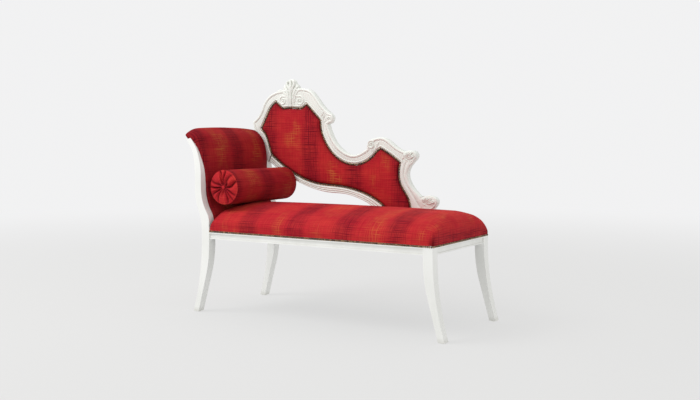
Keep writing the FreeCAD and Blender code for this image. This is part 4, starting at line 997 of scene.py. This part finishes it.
def arm_surface():
    """The pad as a grid: round its section, and from its front end to its back end."""
    share = np.linspace(0, 1, 250)
    ends = 24.0
    spread = np.r_[0, 0.4, 1.2, 2.6, 4.6, 7.2, 10.4, 14, 18, 22, 28, np.linspace(36, 480, 60)]
    steps = np.r_[spread, ARM_LONG - spread[:11][::-1]]
    outer, _ = arm_outer()
    rows, flat = [], []
    for far in steps:
        near_end, far_end = np.clip(1 - far / ends, 0, 1), np.clip(1 - (ARM_LONG - far) / ends, 0, 1)
        fall = ends * (1 - np.sqrt(1 - np.maximum(near_end, far_end) ** 2))
        crown = 13.0 * np.sin(np.pi * np.clip(far / ARM_LONG, 0, 1)) ** 0.5 + 4.0 - 3.0 * far / ARM_LONG
        line, gone = arm_section(crown)
        at = share * gone[-1]
        inner = points_at(at, gone, line)
        inward = leftward(headings(inner))
        deep = np.minimum(fall, 16 + 8 * np.clip((inner[:, 1] - 760) / 60, 0, 1))
        deep = deep * np.clip((inner[:, 0] + 722) / 60, 0.12, 1)
        inner = inner + inward * deep[:, None]
        tuck = np.array(LIP_TIP) + [deep[-1] * 0.5, -2]
        tail = outer[1:]
        whole = np.concatenate([inner, tuck[None], tail])
        front = np.interp(inner[:, 1], [620, 800, 822, 848], [ARM_FRONT, -276, -280, ARM_ROLL_FRONT])
        front = np.r_[front, ARM_ROLL_FRONT, np.where(tail[:, 1] > 838, ARM_ROLL_FRONT, ARM_FRONT)]
        y = front + (ARM_BACK - front) * far / ARM_LONG
        thin = np.clip(1 - far / 70, 0, 1) ** 2 * 0.5 * np.clip((-652 - whole[:, 0]) / 50, 0, 1)
        whole[:, 1] -= np.where(whole[:, 1] > 850, (whole[:, 1] - 850) * thin, 0)
        rows.append(np.stack([whole[:, 0], y, whole[:, 1]], 1))
        around = np.r_[at, at[-1] + 6, at[-1] + 6 + np.arange(1, len(tail) + 1) * 8.0]
        flat.append(np.stack([y, around], 1) / 1000)
    return np.array(rows), np.array(flat)


arm_rows, arm_flat = arm_surface()
held = np.zeros(arm_rows.shape[:2])
held[:6] = held[-6:] = 1
held[:, :4] = held[:, 236:] = 1
move = settled(arm_rows, held, 3.5, ring=True)
move[..., 1] *= 0.3
arm_rows = arm_rows + move
# depth=0.68 darkens this whole cover: painted shade, as the arm's inside faces away from the light.
arm = skin("arm_pad", arm_rows, red_cloth("arm_cloth", -0.010, gold=0.85, depth=0.68),
           ring=True, caps=True, cloth=closed_round(arm_flat), crease=60)
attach(arm, "frame")
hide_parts("arm_cover", "arm_foam")


# Arm's outside: a second width of the same cloth, stretched over the hardboard between the posts. It is
# tacked to the beech rails at its top and foot, and to the posts along its sides.

def outside_arm():
    """A thin sheet that follows the posts' outer curve, 3 mm in at its edges and 2.4 mm more between them.

    At its foot and its top the middle comes back out to the edges' 3 mm, as it is tacked to straight rails.
    """
    rows, flat = [], []
    for side in np.linspace(-HALF_ARM, HALF_ARM, 40):
        waist = 2.4 * (1 - (side / HALF_ARM) ** 2)
        sheets = []
        for away in (3.0, 4.6):
            points, gone = post_outer(away, 404, 35, 2.0)
            line, at = evenly(points, gone, gone[-1] / 89.999)
            drawn_in = waist * np.clip((line[:, 1] - 430) / 60, 0, 1) * np.clip((795 - line[:, 1]) / 60, 0, 1)
            sheets.append(line - drawn_in[:, None] * leftward(headings(line)))
        whole = np.concatenate([sheets[0], sheets[1][::-1]])
        rows.append(np.stack([whole[:, 0], np.full(len(whole), side), whole[:, 1]], 1))
        around = np.r_[at, at[::-1]]
        flat.append(np.stack([np.full(len(whole), side), around], 1) / 1000)
    return np.array(rows), np.array(flat), at[-1] / 1000


rows, flat, length = outside_arm()
arm_outside = skin("arm_outside", rows, red_cloth("arm_outside_cloth", 0.05, gold=0.8),
                   ring=True, caps=True, cloth=closed_round(flat), crease=50)
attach(arm_outside, "frame")
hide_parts("arm_outside_cover")


# Back panel: foam on a board inside the carved frame, its cover drawn over it and nailed round the edge,
# with a plain width of the same cloth stretched over the back.

def over_outline(name, finish, depth, behind, inset, gap=6.0):
    """A piece with the panel's outline. Points a gap apart inside it stand at a depth found from how far
    they are from its edge; a constrained triangulation joins them, and a rim and a flat back close it.
    """
    edge, seen = panel_edge, [0]
    for k in range(1, len(edge)):
        if np.sqrt(((edge[k] - edge[seen[-1]]) ** 2).sum()) > 4.0:
            seen.append(k)
    edge = edge[seen]
    if np.sqrt(((edge[0] - edge[-1]) ** 2).sum()) < 3.0:
        edge = edge[:-1]
    ahead, back = np.roll(edge, -1, axis=0), np.roll(edge, 1, axis=0)
    way = ahead - back
    way /= np.sqrt((way ** 2).sum(1))[:, None]
    area = (edge[:, 0] * ahead[:, 1] - ahead[:, 0] * edge[:, 1]).sum()
    inward = leftward(way) * (1 if area > 0 else -1)
    rim = edge + inward * inset
    low, high = rim.min(0), rim.max(0)
    columns, levels = (np.arange(low[axis], high[axis], gap) for axis in (0, 1))
    grid = np.stack(np.meshgrid(columns, levels), -1).reshape(-1, 2)
    closed = np.concatenate([rim, rim[:1]])
    a, b = closed[:-1], closed[1:]
    crossing = (a[None, :, 1] > grid[:, None, 1]) != (b[None, :, 1] > grid[:, None, 1])
    lean = (b - a)[None, :, 0] / ((b - a)[None, :, 1] + 1e-12)
    at = a[None, :, 0] + (grid[:, None, 1] - a[None, :, 1]) * lean
    grid = grid[(crossing & (at > grid[:, None, 0])).sum(1) % 2 == 1]
    grid = grid[away_from(grid, closed) > 4.2]
    near = [(rim + inward * step, step * 0.9) for step in (1.2, 2.8)]
    near = [ring[away_from(ring, closed) > least] for ring, least in near]
    points = np.concatenate([rim] + near + [grid])
    border = [[k, (k + 1) % len(rim)] for k in range(len(rim))]
    out = geometry.delaunay_2d_cdt([Vector(p) for p in points], border, [], 1, 1e-4)
    flat = np.array([tuple(p) for p in out[0]])
    faces = [list(face) for face in out[2]]
    off_edge = away_from(flat, closed)
    front = np.stack([flat[:, 0], depth(off_edge), flat[:, 1]], 1)
    order = [int(((flat - p) ** 2).sum(1).argmin()) for p in rim]
    rear = front[order].copy()
    rear[:, 1] = behind
    count = len(front)
    side = [[order[k], order[(k + 1) % len(order)], count + (k + 1) % len(order), count + k]
            for k in range(len(order))]
    mesh = bpy.data.meshes.new(name)
    spots = np.concatenate([front, rear])
    mesh.from_pydata((spots / 1000 + [MIDDLE_X, 0, 0]).tolist(), [],
                     faces + side + [list(range(count, count + len(order)))])
    facing_out(mesh)
    corner = np.empty(len(mesh.loops), int)
    mesh.loops.foreach_get("vertex_index", corner)
    mesh.uv_layers.new(name="cloth").data.foreach_set("uv", (spots[corner][:, [0, 2]] / 1000).ravel())
    # Painted shade: the front darkens towards the edge, where the stuffed cloth turns away into the nails;
    # the rear gets none.
    edge_shade = np.concatenate([0.8 * np.exp(-off_edge / 11), np.zeros(len(rear))])
    store_wash_and_shade(mesh, edge_shade)
    piece = piece_of(name, mesh, finish, 50)
    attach(piece, "frame")
    return piece, abs(area) / 2e6


def crowned(distance):
    """Depth of the stuffed front: a quarter round over the first 17 mm, then a slow rise to the middle."""
    round_edge = 13.5 * np.sqrt(1 - (1 - np.clip(distance / 17, 0, 1)) ** 2)
    swell = 4.5 * (1 - np.exp(-np.clip(distance - 8, 0, None) / 55))
    return 261.5 - round_edge - swell


def stretched(distance):
    """Depth of the back's plain cloth, drawn in a little away from its edge."""
    return 286.4 - 1.5 * (1 - np.exp(-distance / 60))


back_cloth_finish = shaded_cloth(red_cloth("back_cloth", -0.348, gold=0.9))
panel, _ = over_outline("back_pad", back_cloth_finish, crowned, behind=262.8, inset=1.4)
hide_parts("back_cover", "back_foam")
back_outside, area = over_outline("back_outside", back_cloth_finish, stretched, behind=284.0, inset=1.4,
                                  gap=9.0)
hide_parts("back_outside_cover")


# Nails: round-headed upholstery nails of antiqued brass, almost touching, along the seat's edge and
# round the back panel.

NAIL_PITCH, NAIL_RADIUS, NAIL_HIGH, NAIL_SUNK = 9.7, 4.5, 2.7, 0.2
NAIL_Z = 399.2
NAIL_OFF = 4.8


def brass():
    """Antiqued brass: brown, and rubbed bright here and there."""
    made, tree, shader = fresh("antique_brass")
    rubbed = clouds(tree, own_place(tree), (1, 1, 1), 150, 3, 0.6)
    tone = blended(tree, between(tree, rubbed, 0.44, 0.62), (0.045, 0.018, 0.009, 1), (0.42, 0.26, 0.12, 1))
    feed(tree, shader, {"Base Color": tone, "Roughness": between(tree, rubbed, 0.3, 0.7, 0.60, 0.42),
                        "Metallic": 0.2})
    return made


brass_finish = brass()


def nail_row(name, node, heads):
    """Domed heads: three rings of eight points each, whose radius and height follow a quarter turn."""
    up = np.radians([0, 32, 62])
    around = np.linspace(0, 2 * np.pi, 8, endpoint=False)
    spots, faces = [], []
    for place, out in heads:
        place, out = np.array(place), np.array(out, float)
        side = np.cross(out, [0, 0, 1.0])
        rise = np.cross(side, out)
        ring = np.cos(around)[:, None] * side + np.sin(around)[:, None] * rise
        base = len(spots)
        spots += [place + NAIL_RADIUS * math.cos(a) * way + out * (NAIL_HIGH * math.sin(a) - NAIL_SUNK)
                  for a in up for way in ring]
        spots += [place + out * (NAIL_HIGH - 0.1), place - out * NAIL_SUNK]
        for k in range(8):
            after = (k + 1) % 8
            faces += [[base + level + k, base + level + after, base + level + 8 + after, base + level + 8 + k]
                      for level in (0, 8)]
            faces += [[base + 16 + k, base + 16 + after, base + 24], [base + after, base + k, base + 25]]
    mesh = bpy.data.meshes.new(name)
    mesh.from_pydata((np.array(spots) / 1000 + [MIDDLE_X, 0, 0]).tolist(), [], faces)
    facing_out(mesh)
    piece = piece_of(name, mesh, brass_finish, 70)
    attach(piece, "frame")
    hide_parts(node)


def seat_row(start, finish, out):
    """Nail places between two points at the height of the seat's nails."""
    count = int(math.dist(start, finish) // NAIL_PITCH)
    return [((start[0] + (finish[0] - start[0]) * (k + 0.5) / count,
              start[1] + (finish[1] - start[1]) * (k + 0.5) / count, NAIL_Z), out) for k in range(count)]


heads = seat_row((-578, -288), (623, -288), (0, -1, 0)) + seat_row((623, -288), (623, 288), (1, 0, 0))
heads += seat_row((-578, 288), (623, 288), (0, 1, 0)) + seat_row((-623, -241), (-623, 241), (-1, 0, 0))
nail_row("seat_nail_row", "seat_nails", heads)


def edge_row():
    """Nail places just outside the panel's edge, wherever it shows above the seat."""
    run = run_along(panel_edge)
    count = int(run[-1] / NAIL_PITCH)
    at = (np.arange(count) + 0.5) * run[-1] / count
    spot, ahead, before = (points_at(at + shift, run, panel_edge) for shift in (0, 3, -3))
    way = ahead - before
    way /= np.sqrt((way ** 2).sum(1))[:, None]
    out = spot + NAIL_OFF * leftward(way)
    above_seat = 500
    return [((x, FRONT - NAIL_SUNK, z), (0, -1, 0)) for x, z in out if z > above_seat]


nail_row("back_nail_row", "back_nails", edge_row())


# Bolster: a loose round cushion of feathers in a sewn tube of the same cloth. Each end is a strip
# gathered into eleven pleats under a covered button. It lies on the seat and lifts off.

BOLSTER_X, BOLSTER_Y, BOLSTER_Z, BOLSTER_R = -514.0, -7.0, 612.4, 85.0
HALF_TUBE = 243.0
FRONT_DOME, BACK_DOME = 12.0, 4.5
# Painted shade: how dark the whole tube is made, as it lies in the arm's shadow; the ends stay lighter.
TUBE_SHADE = 0.42
END_SHIFT = 85.0


def bolster_surface():
    """Tube and both ends as one grid: round the axis, and from the front button to the back button.

    The tube's radius swells by nearly a millimetre between its ends. On an end, the distance out of the
    plane is a dome less the pleats: their depth times a power of a cosine of eleven half turns, its angle
    bent a little by slower cosines so that no two are alike, and drawn round as the cloth nears the button.
    """
    angle = np.linspace(0, 2 * np.pi, 280, endpoint=False)
    tube = np.r_[-HALF_TUBE, -HALF_TUBE + 1.5, -HALF_TUBE + 4, np.linspace(-HALF_TUBE + 9, HALF_TUBE - 9, 62),
                 HALF_TUBE - 4, HALF_TUBE - 1.5, HALF_TUBE]
    radius = np.linspace(BOLSTER_R - 1.5, 6.0, 44)
    rows, flat, crease = [], [], []

    def ring(across, y, r, shade, u):
        """Adds one ring of points with its flat places and its painted shade."""
        low = np.clip(-np.sin(angle), 0, 1) ** 6
        rows.append(np.stack([BOLSTER_X + r * np.cos(angle), BOLSTER_Y + y + 0 * angle,
                              BOLSTER_Z + r * np.sin(angle) + 0.6 * low * (across > 60)], 1))
        flat.append(np.stack([np.full(len(angle), (BOLSTER_Y + u) / 1000), angle * BOLSTER_R / 1000], 1))
        crease.append(shade)

    def end(side):
        """An end's rings, from its rim in to its button."""
        made = []
        high = FRONT_DOME if side < 0 else BACK_DOME
        for r in radius:
            share = (r - 6.0) / (BOLSTER_R - 7.5)
            bent = angle + 0.12 * np.cos(3 * angle + 1.1 + side) + 0.08 * np.cos(5 * angle + 2.3)
            twist = 0.25 * (1 - share) ** 2 * np.cos(2 * angle + side) + 0.10 * np.sin(4 * share + 3 * angle)
            wave = np.abs(np.cos(5.5 * (bent + twist))) ** 1.1
            uneven = 1 + 0.35 * np.cos(4 * angle + 0.7 * side) + 0.2 * np.cos(9 * angle + 2)
            deep = 17.0 * np.clip(share * 4, 0, 1) * np.clip((1 - share) * 2.8, 0, 1) ** 0.8 * uneven
            dome = high * np.sin(np.pi * np.clip(share * 0.80 + 0.12, 0, 1)) ** 0.8 - 4.0 * (1 - share) ** 3
            y = HALF_TUBE - 0.5 + dome * np.sqrt(np.clip(1 - share ** 5, 0, 1)) - deep * (1 - wave)
            # Painted shade in the creases between the pleats.
            made.append((r, side * y, np.clip(1.0 - wave * 1.5, 0, 1) * np.clip(deep / 4, 0, 1),
                         side * (HALF_TUBE + BOLSTER_R - r) + END_SHIFT))
        return made

    for r, y, shade, u in end(-1)[::-1]:
        ring(r, y, r, shade, u)
    for y in tube:
        swell = BOLSTER_R - 1.8 * np.exp(-((HALF_TUBE - abs(y)) / 5.0)) - 0.9 * (y / HALF_TUBE) ** 2
        # Painted shade: the tube is darkened all over, and more at its seams with the ends.
        shade = max(TUBE_SHADE, 0.9 * math.exp(-(HALF_TUBE - abs(y)) / 1.2))
        ring(BOLSTER_R, y, swell, np.full(len(angle), shade), y)
    for r, y, shade, u in end(1):
        ring(r, y, r, shade, u)
    return np.array(rows), np.array(flat), np.array(crease)


bolster_rows, bolster_flat, bolster_shade = bolster_surface()
held = np.zeros(bolster_rows.shape[:2])
held[:46] = held[-46:] = 1
move = settled(bolster_rows, held, 1.6, ring=True)
move[..., 2] = np.where(bolster_rows[..., 2] < BOLSTER_Z - 60, 0, move[..., 2])
bolster_finish = shaded_cloth(red_cloth("bolster_cloth", 0.004, gold=0.7))
bolster_flat = np.concatenate([bolster_flat, bolster_flat[:, :1] + [0, 2 * np.pi * BOLSTER_R / 1000]], axis=1)
bolster = skin("bolster_cushion", bolster_rows + move, bolster_finish, ring=True, caps=True,
               cloth=bolster_flat, wash_and_shade=bolster_shade, crease=70)
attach(bolster, "bolster")
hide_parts("bolster_filling", "bolster_cover", "bolster_end_front", "bolster_end_back")


def button(name, node, side):
    """A covered button: an ellipsoid cut off behind, drawn into the pleats."""
    up = np.radians([-70, -30, 0, 20, 40, 58, 74, 90])
    around = np.linspace(0, 2 * np.pi, 24, endpoint=False)
    rows = turned((BOLSTER_X, BOLSTER_Z), 9.5 * np.cos(up),
                  BOLSTER_Y + side * (HALF_TUBE + 4 + 5 * np.sin(up)), len(around))
    flat = np.stack(np.meshgrid(up * 0.009, around * 0.009, indexing="ij"), 2)
    piece = skin(name, rows, seat_cloth_finish, ring=True, caps=True, cloth=closed_round(flat), crease=60)
    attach(piece, "bolster")
    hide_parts(node)


button("button_front", "bolster_button_front", -1)
button("button_back", "bolster_button_back", 1)


# Under the seat: jute webbing strained over the rails, hessian tacked down over it, and a thin black dust
# cloth tacked beneath the rails, which hangs a little in its middle.

def woven(name, dark, light, pitch):
    """A plain weave of round threads at a pitch in metres, in two tones."""
    made, tree, shader = fresh(name)
    apart = put(tree, "SeparateXYZ", None, {0: own_place(tree)})
    threads = crossed(tree, apart.outputs["X"], apart.outputs["Y"], 2 * math.pi / pitch)
    feed(tree, shader, {"Base Color": blended(tree, between(tree, threads, -1.0, 1.0), dark, light),
                        "Roughness": 0.9, "Normal": raised(tree, threads, 0.5, 0.0006)})
    return made


finished(woven("jute_webbing", (0.26, 0.15, 0.07, 1), (0.46, 0.31, 0.17, 1), 0.004), "seat_webbing")
finished(woven("hessian", (0.24, 0.15, 0.08, 1), (0.44, 0.32, 0.19, 1), 0.003), "seat_hessian")


def dust_sheet():
    """A thin cloth between the rails that hangs 3 mm lower in its middle."""
    low, high = np.array(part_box("dust_cover")) * 1000
    x = np.linspace(low[0] - MIDDLE_X * 1000, high[0] - MIDDLE_X * 1000, 60)[:, None]
    y = np.linspace(low[1], high[1], 30)[None, :]
    bow = 3.0 * np.cos(np.pi * (x - x.mean()) / (x.max() - x.min())) * np.cos(np.pi * y / (y.max() - y.min()))
    top = np.stack([x + 0 * y, y + 0 * x, high[2] - bow], 2)
    under = top[:, ::-1].copy()
    under[..., 2] -= 1.0
    return np.concatenate([top, under], axis=1), (high[0] - low[0]) / 1000, (high[1] - low[1]) / 1000


rows, width, length = dust_sheet()
dust_cloth = woven("dust_cloth", (0.010, 0.010, 0.011, 1), (0.030, 0.030, 0.032, 1), 0.002)
dust = skin("dust_sheet", rows, dust_cloth, ring=True, caps=True, crease=50)
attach(dust, "frame")
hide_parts("dust_cover")


# The studio: a pale floor that fades into white, one large soft light from the left and in front, and
# an even white surround.

SURROUND = (0.885, 0.885, 0.89, 1)


def floor():
    """A plain pale sheet of paper under the object."""
    mesh = bpy.data.meshes.new("floor")
    mesh.from_pydata([(-30, -30, 0), (30, -30, 0), (30, 30, 0), (-30, 30, 0)], [], [(0, 1, 2, 3)])
    made, tree, shader = fresh("paper")
    place = own_place(tree)
    soft = clouds(tree, place, (1, 1, 1), 0.8, 2, 0.5)
    feed(tree, shader, {"Base Color": blended(tree, soft, (0.60, 0.60, 0.595, 1), (0.62, 0.62, 0.615, 1)),
                        "Roughness": 0.9, "Specular IOR Level": 0.1})
    bright = put(tree, "Emission", None, {"Color": (0.83, 0.83, 0.827, 1)})
    even = put(tree, "MixShader", None, {0: 0.73, 1: shader.outputs[0], 2: bright.outputs[0]})
    away = put(tree, "Emission", None, {"Color": SURROUND})
    far = put(tree, "VectorMath", {"operation": "LENGTH"}, {0: place}).outputs["Value"]
    fade = between(tree, far, 1.6, 7.0)
    faded = put(tree, "MixShader", None, {0: fade, 1: even.outputs[0], 2: away.outputs[0]})
    feed(tree, tree.nodes["Material Output"], {"Surface": faded.outputs[0]})
    mesh.materials.append(made)
    piece = bpy.data.objects.new("floor", mesh)
    scene.collection.objects.link(piece)


def softbox(name, place, aim, size, power):
    """A square light that faces a point."""
    made = bpy.data.lights.new(name, "AREA")
    made.shape, made.size, made.energy = "SQUARE", size, power
    lamp = bpy.data.objects.new(name, made)
    scene.collection.objects.link(lamp)
    away = np.array(place, float) - aim
    lamp.location = place
    flat = math.hypot(away[0], away[1])
    lamp.rotation_euler = (math.atan2(flat, away[2]), 0, math.atan2(away[0], -away[1]))


floor()
softbox("key", (-2.4, -2.5, 4.4), aim=(0, 0, 0.5), size=2.6, power=128)
world = bpy.data.worlds.new("surround")
scene.world = world
world.use_nodes = True
tree = world.node_tree
shown = tree.nodes["Background"]
feed(tree, shown, {"Color": SURROUND, "Strength": 1.0})
lit = put(tree, "Background", None, {"Color": (1.0, 0.995, 0.985, 1), "Strength": 0.84})
path = put(tree, "LightPath")
seen = maths(tree, "MAXIMUM", path.outputs["Is Camera Ray"],
             maths(tree, "MAXIMUM", path.outputs["Is Glossy Ray"], path.outputs["Is Transmission Ray"]))
mixed = put(tree, "MixShader", None, {0: seen, 1: lit.outputs[0], 2: shown.outputs[0]})
feed(tree, tree.nodes["World Output"], {"Surface": mixed.outputs[0]})
